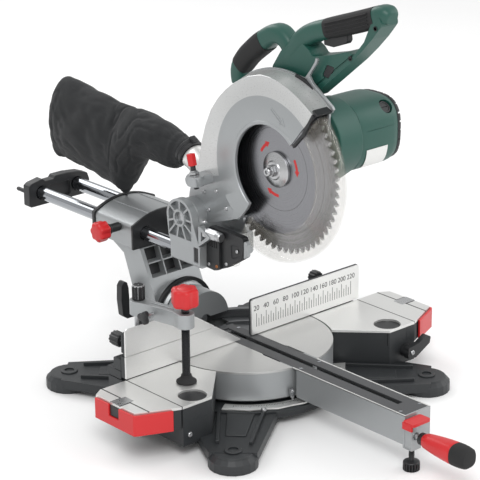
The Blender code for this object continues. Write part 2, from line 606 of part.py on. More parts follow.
def build_blade():
    points = []
    teeth = 40
    for i in range(teeth):
        a = 2 * pi * i / teeth
        points.append((BLADE_R * cos(a), BLADE_R * sin(a)))
        points.append(((BLADE_R - 1) * cos(a + 0.035), (BLADE_R - 1) * sin(a + 0.035)))
        points.append(((BLADE_R - 10) * cos(a + 0.125), (BLADE_R - 10) * sin(a + 0.125)))
    outline = [(BLADE_Y + y, BLADE_Z + z) for y, z in points]
    blade = finish_part("saw_blade", prism(outline, -1.2, 1.2, "X"), "blade", "steel", smooth=False)
    mid = (0, BLADE_Y, BLADE_Z)
    cut(blade, cylinder(mid, "X", 15.3, -5, 5, 24))
    flange = [(0, -28), (7, -28), (9, -26), (9, -17), (14, -13), (27, -9), (27, -1.5), (5, -1.5), (5, 12), (0, 12)]
    finish_part("arbor_flange", turned(flange, mid, "X", 32), "blade", "steel")
    spindle = [(5.4, -1.3), (15, -1.3), (15, 1.5), (25, 1.5), (25, 3.6), (12.6, 3.6), (12.6, 22.6),
               (PULLEY_BIG - 0.4, 22.6), (PULLEY_BIG - 0.4, 31.4), (12, 31.4), (12, 36), (0, 36), (0, 13), (5.4, 13)]
    finish_part("spindle", turned(spindle, mid, "X", 32), "blade", "steel")


def build_lower_guard():
    """The swinging guard: a clear shell open at the top, with its hub on the motor's side."""
    outer, low, high = 138, 134, 300
    sector = arc(BLADE_CENTRE, outer, low, high, 22) + arc(BLADE_CENTRE, 27, high, low, 8)
    guard = finish_part("lower_guard", prism(sector, -16, 7, "X"), "lower_guard", "clear")
    inside = arc(BLADE_CENTRE, outer - 2.4, low - 10, high + 10, 24) + arc(BLADE_CENTRE, 10, high + 10, low - 10, 6)
    cut(guard, prism(inside, -13.8, 4.8, "X"))
    window = arc(BLADE_CENTRE, 94, low - 10, high + 10, 20) + arc(BLADE_CENTRE, 10, high + 10, low - 10, 6)
    cut(guard, prism(window, -20, -10, "X"))
    join(guard, ring((0, *BLADE_CENTRE), "X", 26, 33, 4.8, 8.8, 24))


def build_handles():
    outer = [(-34, 398), (-34, 430), (-51, 454), (-87, 489), (-103, 507), (-254, 555), (-262, 546), (-255, 527),
             (-238, 507), (-218, 486), (-198, 467), (-156, 432), (-112, 394)]
    hole = [(-120, 459), (-110, 468), (-124, 480), (-212, 508), (-222, 501), (-204, 478), (-186, 478), (-160, 469)]
    handle = finish_part("main_handle", prism(outer, 20, 56, "X"), "head", "green")
    cut(handle, cylinder((0, *MOTOR_CENTRE), "X", 58 + GAP, 0, 80, 40))
    cut(handle, block((10, BLADE_Y, 350), (70, 40, 398.4)))
    cut(handle, prism(hole, 10, 70, "X"))
    cut(handle, block((32, -180, 470), (44, -128, 505)))
    cut(handle, cylinder((38, -112, 0), "Z", 5.4, 492, 540, 12))
    trigger = [(-130, 475), (-178, 489), (-178, 500), (-130, 499)]
    finish_part("trigger", prism(trigger, 33, 43, "X"), "trigger", "black")
    button = [(0, 496), (5, 496), (5, 517), (4, 519), (0, 519)]
    finish_part("lock_off_button", turned(button, (38, -112, 0), "Z", 14), "lock_button", "black")
    carry = [(64, 330), (60, 398), (40, 424), (2, 463), (-37, 486), (-68, 477), (-62, 462), (-43, 448), (-11, 415),
             (0, 398), (6, 360), (30, 330)]
    grip = finish_part("carry_handle", prism(carry, 24, 54, "X"), "head", "green")
    cut(grip, block((20, -34 + GAP, 340), (60, -120, 500)))


def build_dust_collection():
    """The port's tube and the bag on it, whose sections are (Y, half width, bottom, top)."""
    tube = turned([(16, 0), (PORT_R, 0), (PORT_R, 47), (16, 47)], (0, 0, 0), "Z", 24)
    bmesh.ops.transform(tube, matrix=PORT_PLACE, verts=tube.verts)
    finish_part("dust_port", tube, "head", "steel")
    sections = []
    stations = (
        (133, 20, 244, 285), (160, 30, 231, 295), (215, 42, 230, 303), (246, 48, 216, 306), (268, 51, 190, 308),
        (292, 52, 167, 311), (360, 53, 172, 317), (410, 50, 180, 322), (440, 45, 186, 320), (459, 36, 194, 296),
    )
    for y, half, low, high in stations:
        points = []
        for i in range(14):
            a = 2 * pi * i / 14
            squared = 1 - 0.18 * abs(sin(2 * a))
            points.append((half * cos(a) / squared * 0.86, y, (low + high) / 2 + (high - low) / 2 * sin(a)))
        sections.append(points)
    finish_part("dust_bag", loft(sections), "head", "fabric")


def build_depth_stop():
    stop = [(0, 40), (4, 40), (4, 63), (8, 63), (8, 69), (4, 69), (4, 76), (6.5, 76), (6.5, 92), (4.5, 94), (0, 94)]
    bm = turned(stop, (0, 0, 0), "Z", 14)
    bmesh.ops.transform(bm, matrix=STOP_PLACE, verts=bm.verts)
    finish_part("depth_stop_screw", bm, "depth_stop", "red")


def build_bodies():
    """Every body's empty, on the pivot of its joint or, for a slide, where the piece is held."""
    make_body("base", None)
    BODIES["base"][0].location = (0, FRAME_SHIFT_Y * MM, TABLE_HEIGHT * MM)
    make_body("left_fence", "base")
    make_body("right_fence", "base")
    make_body("left_fence_knob", "left_fence", (-222, 20, 52))
    make_body("right_fence_knob", "base", (178, 20, 26))
    make_body("left_extension", "base")
    make_body("right_extension", "base")
    make_body("right_lock_lever", "base", (212, -127, -40))
    make_body("clamp_arm", "base", (*CLAMP_POST, 0))
    make_body("clamp_wing_screw", "clamp_arm", (-206, CLAMP_POST[1] - 38, 97))
    make_body("clamp_spindle", "clamp_arm", (*CLAMP_SPINDLE, 0))
    make_body("turntable", "base")
    make_body("mitre_handle", "turntable", (-20, ARM_END, -27))
    make_body("detent_lever", "turntable", (-20, ARM_END - 2, -7))
    make_body("adjustable_foot", "turntable", (-20, ARM_END - 8.8, -70))
    make_body("bevel_arm", "turntable")
    make_body("slide_lock", "bevel_arm", (-62, 228, 136))
    make_body("bevel_lever", "bevel_arm", (0, 210, 0))
    make_body("carriage", "bevel_arm")
    make_body("head", "carriage", (0, PIVOT_Y, PIVOT_Z))
    make_body("blade", "head", (0, BLADE_Y, BLADE_Z))
    make_body("armature", "head", (0, MOTOR_Y, MOTOR_Z))
    make_body("lower_guard", "head", (0, BLADE_Y, BLADE_Z))
    make_body("trigger", "head", (38, -152, 490))
    make_body("lock_button", "head", (38, -112, 510))
    make_body("depth_stop", "head", (-46, 48, 240))


clear_scene()
MATERIALS.update({name: make_material(name) for name in COLOURS})
build_bodies()
build_base()
build_tables()
build_mitre_scale()
build_fences()
for side_sign, side_name in ((-1, "left"), (1, "right")):
    build_extension(side_sign, side_name)
build_lock_lever(1, "right_lock_lever")
build_clamp()
build_turntable()
build_mitre_lock()
build_bevel_arm()
build_housing_covers()
build_slide_lock()
build_bevel_lever()
build_rails()
build_bracket()
build_upper_guard()
build_drive_case()
build_motor()
build_belt()
build_blade()
build_lower_guard()
build_handles()
build_dust_collection()
build_depth_stop()
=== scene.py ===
"""Looks for the sliding compound mitre saw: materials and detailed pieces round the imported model.

Shapes are drawn in the saw's working frame, in millimetres: X to the user's right, Y away from the
user, Z up, with its origin where the blade, the fence's face and the table's top meet.
"""

import json
from math import acos, atan2, cos, degrees, hypot, pi, radians, sin

import bmesh
import bpy
from mathutils import Matrix, Vector, noise


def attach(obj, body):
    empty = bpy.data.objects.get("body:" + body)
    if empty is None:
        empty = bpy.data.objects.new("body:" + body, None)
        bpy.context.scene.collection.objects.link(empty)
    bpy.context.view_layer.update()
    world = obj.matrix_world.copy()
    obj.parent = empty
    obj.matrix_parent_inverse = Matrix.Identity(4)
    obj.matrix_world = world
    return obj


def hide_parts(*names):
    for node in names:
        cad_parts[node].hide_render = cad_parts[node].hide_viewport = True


MM = 0.001
FRAME_SHIFT = Vector((0, -11.5, 80))
ORIGIN = (0, 0, 0)
SIDES = ((-1, "left"), (1, "right"))

# Places in the saw's frame. Axes along X are given as (Y, Z), and mirrored places once, for the right.
BLADE, BLADE_RADIUS = (-72, 287), 127.0
PIVOT = (90, 183)
MOTOR, BRUSH_ANGLES = (-130, 340), (46, 226)
GUARD_CENTRE = (-72, 282)
HANDLE_X, LOCK_BUTTON = 38, (38, -112, 0)
RAILS_X, RAILS_Z = (-36, 36), 127
SLIDE_KNOB = (0, 228, 136)
FOOT = (196, 190)
SCOOP, SCOOP_RADIUS = (197, -104), 21
LEFT_FENCE_SLOPE = (78.3 - 1) / 113.5

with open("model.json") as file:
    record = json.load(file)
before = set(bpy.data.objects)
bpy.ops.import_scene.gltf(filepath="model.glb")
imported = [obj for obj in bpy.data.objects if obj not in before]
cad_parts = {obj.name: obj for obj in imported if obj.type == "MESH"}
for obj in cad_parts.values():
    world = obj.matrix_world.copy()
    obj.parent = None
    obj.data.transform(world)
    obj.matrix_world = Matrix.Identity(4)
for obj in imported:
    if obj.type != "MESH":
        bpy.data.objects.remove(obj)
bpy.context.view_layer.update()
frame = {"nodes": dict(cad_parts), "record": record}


# ---------------------------------------------------------------- shapes, in the working frame

AXES = {
    "X": Matrix(((0, 0, 1, 0), (1, 0, 0, 0), (0, 1, 0, 0), (0, 0, 0, 1))),
    "Y": Matrix(((0, 1, 0, 0), (0, 0, 1, 0), (1, 0, 0, 0), (0, 0, 0, 1))),
    "Z": Matrix.Identity(4),
}


def prism(outline, low, high, axis="Z"):
    """An outline in (X, Y), (Y, Z) for X or (Z, X) for Y, extruded from low to high along an axis."""
    bm = bmesh.new()
    bottom = [bm.verts.new((u, v, low)) for u, v in outline]
    top = [bm.verts.new((u, v, high)) for u, v in outline]
    bm.faces.new(bottom)
    bm.faces.new(top)
    for i in range(len(outline)):
        k = (i + 1) % len(outline)
        bm.faces.new((bottom[i], bottom[k], top[k], top[i]))
    bmesh.ops.transform(bm, matrix=AXES[axis], verts=bm.verts)
    bmesh.ops.recalc_face_normals(bm, faces=bm.faces)
    return bm


def front_prism(outline, near, far):
    """An outline in (X, Z), extruded along Y."""
    return prism([(z, x) for x, z in outline], near, far, "Y")


def block(low, high, side=1):
    """A box between two corners, or its mirror image about the saw's middle when side is -1."""
    (x0, x1), (y0, y1) = sorted((low[0] * side, high[0] * side)), (low[1], high[1])
    return prism([(x0, y0), (x1, y0), (x1, y1), (x0, y1)], low[2], high[2])


def mirrored(points, side):
    return [(x * side, y) for x, y in points]


def turned(profile, centre=ORIGIN, axis="Z", segments=64):
    """A solid of revolution from (radius, height) points."""
    bm = bmesh.new()
    verts = [bm.verts.new((r, 0, h)) for r, h in profile]
    edges = [bm.edges.new((a, b)) for a, b in zip(verts, verts[1:])]
    if profile[0][0] > 0:
        edges.append(bm.edges.new((verts[-1], verts[0])))
    bmesh.ops.spin(
        bm, geom=verts + edges, cent=ORIGIN, axis=(0, 0, 1), angle=2 * pi, steps=segments, use_merge=True
    )
    bmesh.ops.remove_doubles(bm, verts=bm.verts, dist=1e-4)
    bmesh.ops.transform(bm, matrix=Matrix.Translation(centre) @ AXES[axis], verts=bm.verts)
    bmesh.ops.recalc_face_normals(bm, faces=bm.faces)
    return bm


def cylinder(centre, axis, radius, low, high, segments=48):
    return turned([(0, low), (radius, low), (radius, high), (0, high)], centre, axis, segments)


def ring(centre, axis, inner, outer, low, high, segments=64):
    return turned([(inner, low), (outer, low), (outer, high), (inner, high)], centre, axis, segments)


def polar(centre, radius, angle):
    """The point at a radius and an angle, in radians, round a centre."""
    return centre[0] + radius * cos(angle), centre[1] + radius * sin(angle)


def arc(centre, radius, start, end, steps):
    """Points along an arc, its ends in degrees."""
    return [polar(centre, radius, radians(start + (end - start) * i / steps)) for i in range(steps + 1)]


def squared_circle(count, power):
    """Directions round a circle with reaches that make it a rounded square."""
    points = []
    for i in range(count):
        c, s = polar((0, 0), 1, 2 * pi * i / count)
        reach = (abs(c) ** power + abs(s) ** power) ** (-1 / power)
        points.append((c * reach, s * reach))
    return points


def link(first, first_r, second, second_r, steps=24):
    """The outline round two discs and the tangents that join them."""
    du, dv = second[0] - first[0], second[1] - first[1]
    wrap = degrees(acos((first_r - second_r) / hypot(du, dv)))
    lean = degrees(atan2(dv, du))
    long_way = arc(first, first_r, lean + wrap, lean + 360 - wrap, steps)
    return long_way + arc(second, second_r, lean - wrap, lean + wrap, steps)


def loft(sections):
    """A closed skin through rings of equal point counts."""
    bm = bmesh.new()
    rings = [[bm.verts.new(p) for p in section] for section in sections]
    count = len(rings[0])
    for first, second in zip(rings, rings[1:]):
        for i in range(count):
            k = (i + 1) % count
            bm.faces.new((first[i], first[k], second[k], second[i]))
    bm.faces.new(rings[0])
    bm.faces.new(rings[-1])
    bmesh.ops.recalc_face_normals(bm, faces=bm.faces)
    return bm


def rounded(outline, radius, steps=4):
    """The outline with each corner replaced by an arc; a corner too tight for it is eased less."""
    points = [Vector(p) for p in outline]
    out = []
    for i, corner in enumerate(points):
        before, after = points[i - 1] - corner, points[(i + 1) % len(points)] - corner
        if before.length < 1e-6 or after.length < 1e-6:
            continue
        half = before.angle(after) / 2
        r = radius[i] if isinstance(radius, (list, tuple)) else radius
        if r <= 0 or half > radians(88):
            out.append(tuple(corner))
            continue
        reach = min(r / max(0.05, abs(sin(half) / cos(half))), before.length * 0.48, after.length * 0.48)
        a, b = corner + before.normalized() * reach, corner + after.normalized() * reach
        for k in range(steps + 1):
            t = k / steps
            point = a.lerp(corner, t).lerp(corner.lerp(b, t), t)
            out.append(tuple(point))
    return out


def merge(*solids):
    """Several solids as one mesh, with no Boolean."""
    whole = bmesh.new()
    for bm in solids:
        mesh = bpy.data.meshes.new("part")
        bm.to_mesh(mesh)
        bm.free()
        whole.from_mesh(mesh)
        bpy.data.meshes.remove(mesh)
    return whole


def moved(bm, matrix):
    bmesh.ops.transform(bm, matrix=matrix, verts=bm.verts)
    return bm


def pose(place, angle, axis="X"):
    """A turn in degrees about an axis, then a shift."""
    return Matrix.Translation(place) @ Matrix.Rotation(radians(angle), 4, axis)


def make_object(name, bm):
    moved(bm, Matrix.Scale(MM, 4) @ Matrix.Translation(FRAME_SHIFT))
    mesh = bpy.data.meshes.new(name)
    bm.to_mesh(mesh)
    bm.free()
    obj = bpy.data.objects.new(name, mesh)
    bpy.context.scene.collection.objects.link(obj)
    return obj


def apply_modifiers(obj):
    bpy.context.view_layer.update()
    graph = bpy.context.evaluated_depsgraph_get()
    mesh = bpy.data.meshes.new_from_object(obj.evaluated_get(graph))
    obj.modifiers.clear()
    obj.data = mesh


def carve(obj, cutters=(), additions=()):
    """Joins and cuts solids, and keeps the result as the piece's own mesh."""
    helpers = []
    for operation, solids in (("UNION", additions), ("DIFFERENCE", cutters)):
        for bm in solids:
            helper = make_object("helper", bm)
            modifier = obj.modifiers.new("boolean", "BOOLEAN")
            modifier.operation, modifier.object = operation, helper
            helpers.append(helper)
    apply_modifiers(obj)
    for helper in helpers:
        bpy.data.objects.remove(helper, do_unlink=True)


def soften(obj, bevel, segments=2, angle=32):
    """Rounded edges and smooth shading."""
    obj.data.shade_smooth()
    obj.data.set_sharp_from_angle(angle=radians(angle))
    if bevel:
        modifier = obj.modifiers.new("edges", "BEVEL")
        modifier.width = bevel * MM
        modifier.segments = segments
        modifier.limit_method = "ANGLE"
        modifier.angle_limit = radians(angle)
        modifier.harden_normals = True
        modifier.miter_outer = "MITER_ARC"


def dress(obj, body, material, replaces=()):
    """Gives a piece its look and its body, and hides the CAD nodes it stands for."""
    obj.data.materials.clear()
    obj.data.materials.append(MATERIALS[material])
    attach(obj, body)
    if replaces:
        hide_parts(*replaces)
    return obj


def piece(name, bm, body, material, bevel=0.6, replaces=(), cutters=(), additions=(), segments=2):
    """A solid piece with eased edges."""
    obj = make_object(name, bm)
    if cutters or additions:
        carve(obj, cutters, additions)
    soften(obj, bevel, segments)
    return dress(obj, body, material, replaces)


def sheet(name, rows, body, material, thickness, offset=-1.0, angle=40, replaces=()):
    """A bent sheet of even thickness through rows of points."""
    obj = make_object(name, strip_skin(rows))
    modifier = obj.modifiers.new("wall", "SOLIDIFY")
    modifier.thickness = thickness * MM
    modifier.offset = offset
    modifier.use_even_offset = False
    apply_modifiers(obj)
    soften(obj, 0, 0, angle)
    return dress(obj, body, material, replaces)


# ---------------------------------------------------------------- materials

class Nodes:
    """Adds and links the shader nodes of one new material."""

    def __init__(self, name):
        self.material = bpy.data.materials.new(name)
        self.material.use_nodes = True
        self.tree = self.material.node_tree
        self.shader = self.tree.nodes["Principled BSDF"]
        self.coords = self.add("ShaderNodeTexCoord").outputs["Object"]

    def add(self, kind, **values):
        node = self.tree.nodes.new(kind)
        for key, value in values.items():
            if key in node.inputs.keys():
                self.put(node.inputs[key], value)
            else:
                setattr(node, key, value)
        return node

    def put(self, socket, value):
        if isinstance(value, bpy.types.NodeSocket):
            self.tree.links.new(value, socket)
        else:
            socket.default_value = value

    def set(self, **values):
        for key, value in values.items():
            self.put(self.shader.inputs[key.replace("_", " ")], value)

    def noise(self, scale, detail=3.0, stretch=(1, 1, 1), roughness=0.5):
        mapping = self.add("ShaderNodeMapping", Vector=self.coords, Scale=stretch)
        texture = self.add("ShaderNodeTexNoise", Vector=mapping.outputs["Vector"], Scale=scale,
                           Detail=detail)
        texture.inputs["Roughness"].default_value = roughness
        return texture.outputs["Fac"]

    def ramp(self, factor, low, high):
        node = self.add("ShaderNodeMapRange", Value=factor)
        node.inputs["To Min"].default_value = low
        node.inputs["To Max"].default_value = high
        return node.outputs["Result"]

    def mix(self, factor, first, second):
        """Two colours mixed; the numbers are the Mix node's factor and colour sockets."""
        node = self.add("ShaderNodeMix", data_type="RGBA")
        self.put(node.inputs[0], factor)
        self.put(node.inputs[6], first)
        self.put(node.inputs[7], second)
        return node.outputs[2]

    def math(self, operation, first, second=0.0):
        node = self.add("ShaderNodeMath", operation=operation)
        self.put(node.inputs[0], first)
        self.put(node.inputs[1], second)
        return node.outputs[0]

    def bump(self, height, strength, distance):
        node = self.add("ShaderNodeBump", Height=height, Strength=strength, Distance=distance)
        self.put(self.shader.inputs["Normal"], node.outputs["Normal"])


def rgba(r, g, b):
    """A colour given as the 0 to 255 values seen on a screen."""
    return tuple(((c / 255 + 0.055) / 1.055) ** 2.4 if c > 10 else c / 3294 for c in (r, g, b)) + (1.0,)


def surface(name, colour, second, roughness, metallic, grain, depth):
    """A painted, cast or moulded surface: two close shades in soft patches, and a fine grain."""
    n = Nodes(name)
    patch = n.noise(14, 4.0)
    fine = n.noise(grain, 2.0)
    n.set(Base_Color=n.mix(n.ramp(patch, 0.15, 0.85), rgba(*colour), rgba(*second)), Metallic=metallic)
    n.set(Roughness=n.ramp(fine, roughness - 0.08, roughness + 0.08))
    n.bump(fine, 0.35, depth)
    return n.material


def brushed(name, colour, second, roughness, stretch, metallic, scale):
    """Machined metal with fine lines along one way."""
    n = Nodes(name)
    lines = n.noise(scale, 3.0, stretch)
    patch = n.noise(9, 3.0)
    n.set(Base_Color=n.mix(n.ramp(lines, 0.1, 0.9), rgba(*colour), rgba(*second)), Metallic=metallic)
    rough = n.ramp(lines, roughness - 0.08, roughness + 0.1)
    n.set(Roughness=n.math("ADD", rough, n.ramp(patch, -0.05, 0.05)))
    n.bump(lines, 0.25, 0.00005)
    return n.material


def radial(name, colour, second, roughness, centre, axis, spacing, metallic):
    """Turned metal: fine rings round an axis."""
    n = Nodes(name)
    split = n.add("ShaderNodeSeparateXYZ", Vector=n.coords)
    place = [c * MM for c in Vector(centre) + FRAME_SHIFT]
    squares = []
    for i in range(3):
        if "XYZ"[i] != axis:
            offset = n.math("SUBTRACT", split.outputs[i], place[i])
            squares.append(n.math("MULTIPLY", offset, offset))
    radius = n.math("SQRT", n.math("ADD", *squares))
    wave = n.math("SINE", n.math("MULTIPLY", radius, 2 * pi / (spacing * MM)))
    joined = n.add("ShaderNodeCombineXYZ", X=radius)
    streaks = n.add("ShaderNodeTexNoise", Vector=joined.outputs[0], Scale=1400.0, Detail=2.0).outputs["Fac"]
    patch = n.noise(11, 3.0)
    n.set(Base_Color=n.mix(streaks, rgba(*colour), rgba(*second)), Metallic=metallic)
    n.set(Roughness=n.math("ADD", n.ramp(streaks, roughness - 0.1, roughness + 0.1),
                           n.ramp(patch, -0.04, 0.04)))
    n.bump(n.math("ADD", wave, streaks), 0.15, 0.00003)
    return n.material


def woven(name):
    """Black nylon cloth: crossing threads, 1.1 mm apart, over soft creases."""
    n = Nodes(name)
    split = n.add("ShaderNodeSeparateXYZ", Vector=n.coords)
    thread = 2 * pi / (1.1 * MM)
    across = n.math("SINE", n.math("MULTIPLY", split.outputs[1], thread))
    along = n.math("SINE", n.math("MULTIPLY", split.outputs[2], thread))
    weave = n.math("MULTIPLY", across, along)
    creases = n.noise(26, 5.0, (1, 0.5, 1.3))
    n.set(Base_Color=n.mix(n.ramp(weave, 0.2, 0.8), rgba(17, 19, 21), rgba(28, 30, 33)))
    n.set(Roughness=n.ramp(creases, 0.7, 0.9), Sheen_Weight=0.06, Sheen_Roughness=0.5)
    n.bump(n.math("ADD", n.math("MULTIPLY", weave, 0.12), creases), 0.5, 0.0016)
    return n.material


def clear_plastic(name):
    """The lower guard's thin tinted plastic."""
    n = Nodes(name)
    fine = n.noise(60, 3.0)
    n.set(Base_Color=(0.5, 0.47, 0.4, 1), Transmission_Weight=0.5, IOR=1.4, Alpha=0.13)
    n.set(Roughness=n.ramp(fine, 0.04, 0.12))
    n.bump(fine, 0.05, 0.0002)
    return n.material


# Each row: two shades as screen colours, roughness, metal, the grain's scale and its depth in metres.
SURFACES = {
    "casting": ((168, 171, 172), (156, 159, 161), 0.38, 0.55, 700, 0.00015),
    # A lighter copy of the casting for the guard's smoother rim band; its lighter shade is a painted
    # highlight.
    "casting_painted_highlight": ((206, 207, 206), (192, 193, 193), 0.3, 0.6, 700, 0.0001),
    "casting_dark": ((104, 106, 108), (92, 94, 96), 0.42, 0.5, 700, 0.00015),
    "black_casting": ((44, 47, 49), (36, 38, 40), 0.48, 0.0, 1100, 0.0002),
    "black": ((34, 35, 37), (27, 28, 30), 0.45, 0.0, 1300, 0.00016),
    "rubber": ((30, 30, 31), (22, 22, 23), 0.75, 0.0, 1500, 0.0002),
    "green": ((33, 82, 72), (27, 71, 62), 0.42, 0.0, 1500, 0.00016),
    "red": ((205, 34, 38), (188, 26, 30), 0.38, 0.0, 1300, 0.00012),
    "dark_grey": ((72, 73, 75), (62, 63, 65), 0.5, 0.0, 1100, 0.0002),
    "copper": ((176, 122, 84), (150, 98, 62), 0.35, 1.0, 900, 0.0001),
    "ink": ((40, 40, 42), (32, 32, 34), 0.5, 0.0, 900, 0.0001),
    "red_ink": ((205, 40, 40), (190, 34, 34), 0.5, 0.0, 900, 0.0001),
}
# Each row: two shades, roughness, how the lines stretch, metal and the lines' scale.
BRUSHED = {
    "machined": ((232, 232, 230), (214, 214, 212), 0.36, (1, 14, 1), 0.75, 300),
    "fence_metal": ((238, 238, 236), (222, 222, 221), 0.34, (1, 1, 16), 0.7, 300),
    "steel": ((196, 197, 198), (170, 171, 173), 0.28, (1, 1, 6), 1.0, 300),
    "chrome": ((168, 171, 175), (140, 143, 148), 0.12, (1, 0.05, 1), 1.0, 500),
}
# Each row: two shades, roughness, the rings' centre, axis and spacing in millimetres, and metal.
RADIAL = {
    "turned_table": ((205, 205, 203), (184, 184, 183), 0.34, ORIGIN, "Z", 1.2, 0.8),
    "blade": ((150, 150, 153), (122, 123, 127), 0.26, (0, *BLADE), "X", 0.9, 1.0),
}
MATERIALS = {"fabric": woven("fabric"), "clear": clear_plastic("clear")}
for make, table in ((surface, SURFACES), (brushed, BRUSHED), (radial, RADIAL)):
    MATERIALS.update((name, make(name, *row)) for name, row in table.items())
NODE_MATERIALS = {
    "left_fence_lower": "fence_metal", "left_fence_upper": "fence_metal", "right_fence": "fence_metal",
}
for part in frame["record"]["subparts"]:
    node = frame["nodes"][part["node"]]
    node.data.materials.clear()
    node.data.materials.append(MATERIALS[NODE_MATERIALS.get(part["node"], part["material_slot"])])
    eased = node.modifiers.new("edges", "BEVEL")
    eased.width, eased.segments, eased.limit_method = 0.5 * MM, 2, "ANGLE"


# ---------------------------------------------------------------- camera, light and floor

# Solved from the photograph: turns in degrees, place in the saw's frame, lens in millimetres.
CAMERA_TURN, CAMERA_RISE, CAMERA_ROLL = -41.36, 19.96, -0.53
CAMERA_PLACE, CAMERA_LENS = (-1945.5, -2196.0, 1224.0), 156.8


def build_camera():
    turn, rise, roll = radians(CAMERA_TURN), radians(CAMERA_RISE), radians(CAMERA_ROLL)
    right = Vector((cos(turn), sin(turn), 0))
    back = Vector((sin(turn) * cos(rise), -cos(turn) * cos(rise), sin(rise)))
    rolled = right * cos(roll) + back.cross(right) * sin(roll)
    up = back.cross(rolled)
    data = bpy.data.cameras.new("camera")
    data.lens, data.sensor_width = CAMERA_LENS, 36
    data.clip_end = 50
    camera = bpy.data.objects.new("camera", data)
    rotation = Matrix((rolled, up, back)).transposed().to_4x4()
    camera.matrix_world = Matrix.Translation((Vector(CAMERA_PLACE) + FRAME_SHIFT) * MM) @ rotation
    bpy.context.scene.collection.objects.link(camera)
    bpy.context.scene.camera = camera


def area_light(name, place, target, size, power):
    data = bpy.data.lights.new(name, "AREA")
    data.shape, data.size, data.energy = "SQUARE", size, power
    light = bpy.data.objects.new(name, data)
    light.location = place
    light.rotation_euler = (Vector(target) - Vector(place)).to_track_quat("-Z", "Y").to_euler()
    bpy.context.scene.collection.objects.link(light)


def build_studio():
    world = bpy.data.worlds.new("studio")
    bpy.context.scene.world = world
    world.use_nodes = True
    background = world.node_tree.nodes["Background"]
    background.inputs["Color"].default_value = (1, 1, 1, 1)
    background.inputs["Strength"].default_value = 0.75
    area_light("key", (-1.6, -1.8, 2.6), (0, 0, 0.25), 1.6, 48)
    area_light("fill", (2.2, -1.2, 1.4), (0, 0, 0.25), 2.0, 22)
    area_light("rear", (0.2, 2.4, 2.2), (0, 0, 0.3), 1.8, 30)
    floor = bpy.data.meshes.new("floor")
    bm = bmesh.new()
    bmesh.ops.create_grid(bm, x_segments=2, y_segments=2, size=40)
    bm.to_mesh(floor)
    bm.free()
    obj = bpy.data.objects.new("floor", floor)
    obj.location = (0, 0, -0.0005)
    n = Nodes("floor")
    n.set(Base_Color=n.mix(n.noise(3, 2.0), rgba(246, 246, 246), rgba(243, 243, 243)), Roughness=0.8)
    obj.data.materials.append(n.material)
    bpy.context.scene.collection.objects.link(obj)
    bpy.context.scene.view_settings.view_transform = "Standard"


# ---------------------------------------------------------------- upper guard, blade and lower guard


def polyline(points, count):
    """Evenly spaced points along a line, its corners kept only roughly."""
    points = [Vector(p) for p in points]
    spans = [(b - a).length for a, b in zip(points, points[1:])]
    out, total = [], sum(spans)
    for i in range(count):
        left = total * i / (count - 1)
        for a, b, span in zip(points, points[1:], spans):
            if left <= span or b is points[-1]:
                out.append(a.lerp(b, min(1.0, left / max(span, 1e-9))))
                break
            left -= span
    return out


def strip_skin(rows):
    """A sheet of quads through rows of equal point counts."""
    bm = bmesh.new()
    grid = [[bm.verts.new(p) for p in row] for row in rows]
    for a, b in zip(grid, grid[1:]):
        for i in range(len(a) - 1):
            bm.faces.new((a[i], a[i + 1], b[i + 1], b[i]))
    bmesh.ops.remove_doubles(bm, verts=bm.verts, dist=1e-4)
    bmesh.ops.recalc_face_normals(bm, faces=bm.faces)
    return bm


def lobed(centre, axis, radius, low, high, lobes=6, depth=2.5, edge=4.0, count=96):
    """A grip knob with soft flutes and rounded rims."""
    turns = [pi / 2 * i / 5 for i in range(6)]
    stations = [(low + edge * (1 - cos(t)), radius - edge * (1 - sin(t))) for t in turns]
    stations += [(high - (z - low), r) for z, r in reversed(stations)]
    sections = []
    for z, r in stations:
        turn = [2 * pi * i / count for i in range(count)]
        sections.append([(*polar((0, 0), r - depth * (0.5 - 0.5 * cos(lobes * a)), a), z) for a in turn])
    return moved(loft(sections), Matrix.Translation(centre) @ AXES[axis])


def screw(name, place, axis, sign, body, radius=4.0, height=2.4, look="steel"):
    """A pan head with a hexagon socket, its seat at place and its head towards sign."""
    head = [(0, 0), (1, 0), (1, 0.55), (0.8, 1), (0.55, 1), (0.5, 0.35), (0, 0.35)]
    profile = [(r * radius, h * height * sign) for r, h in head]
    piece(name, turned(profile, place, axis, 24), body, look, 0.15)


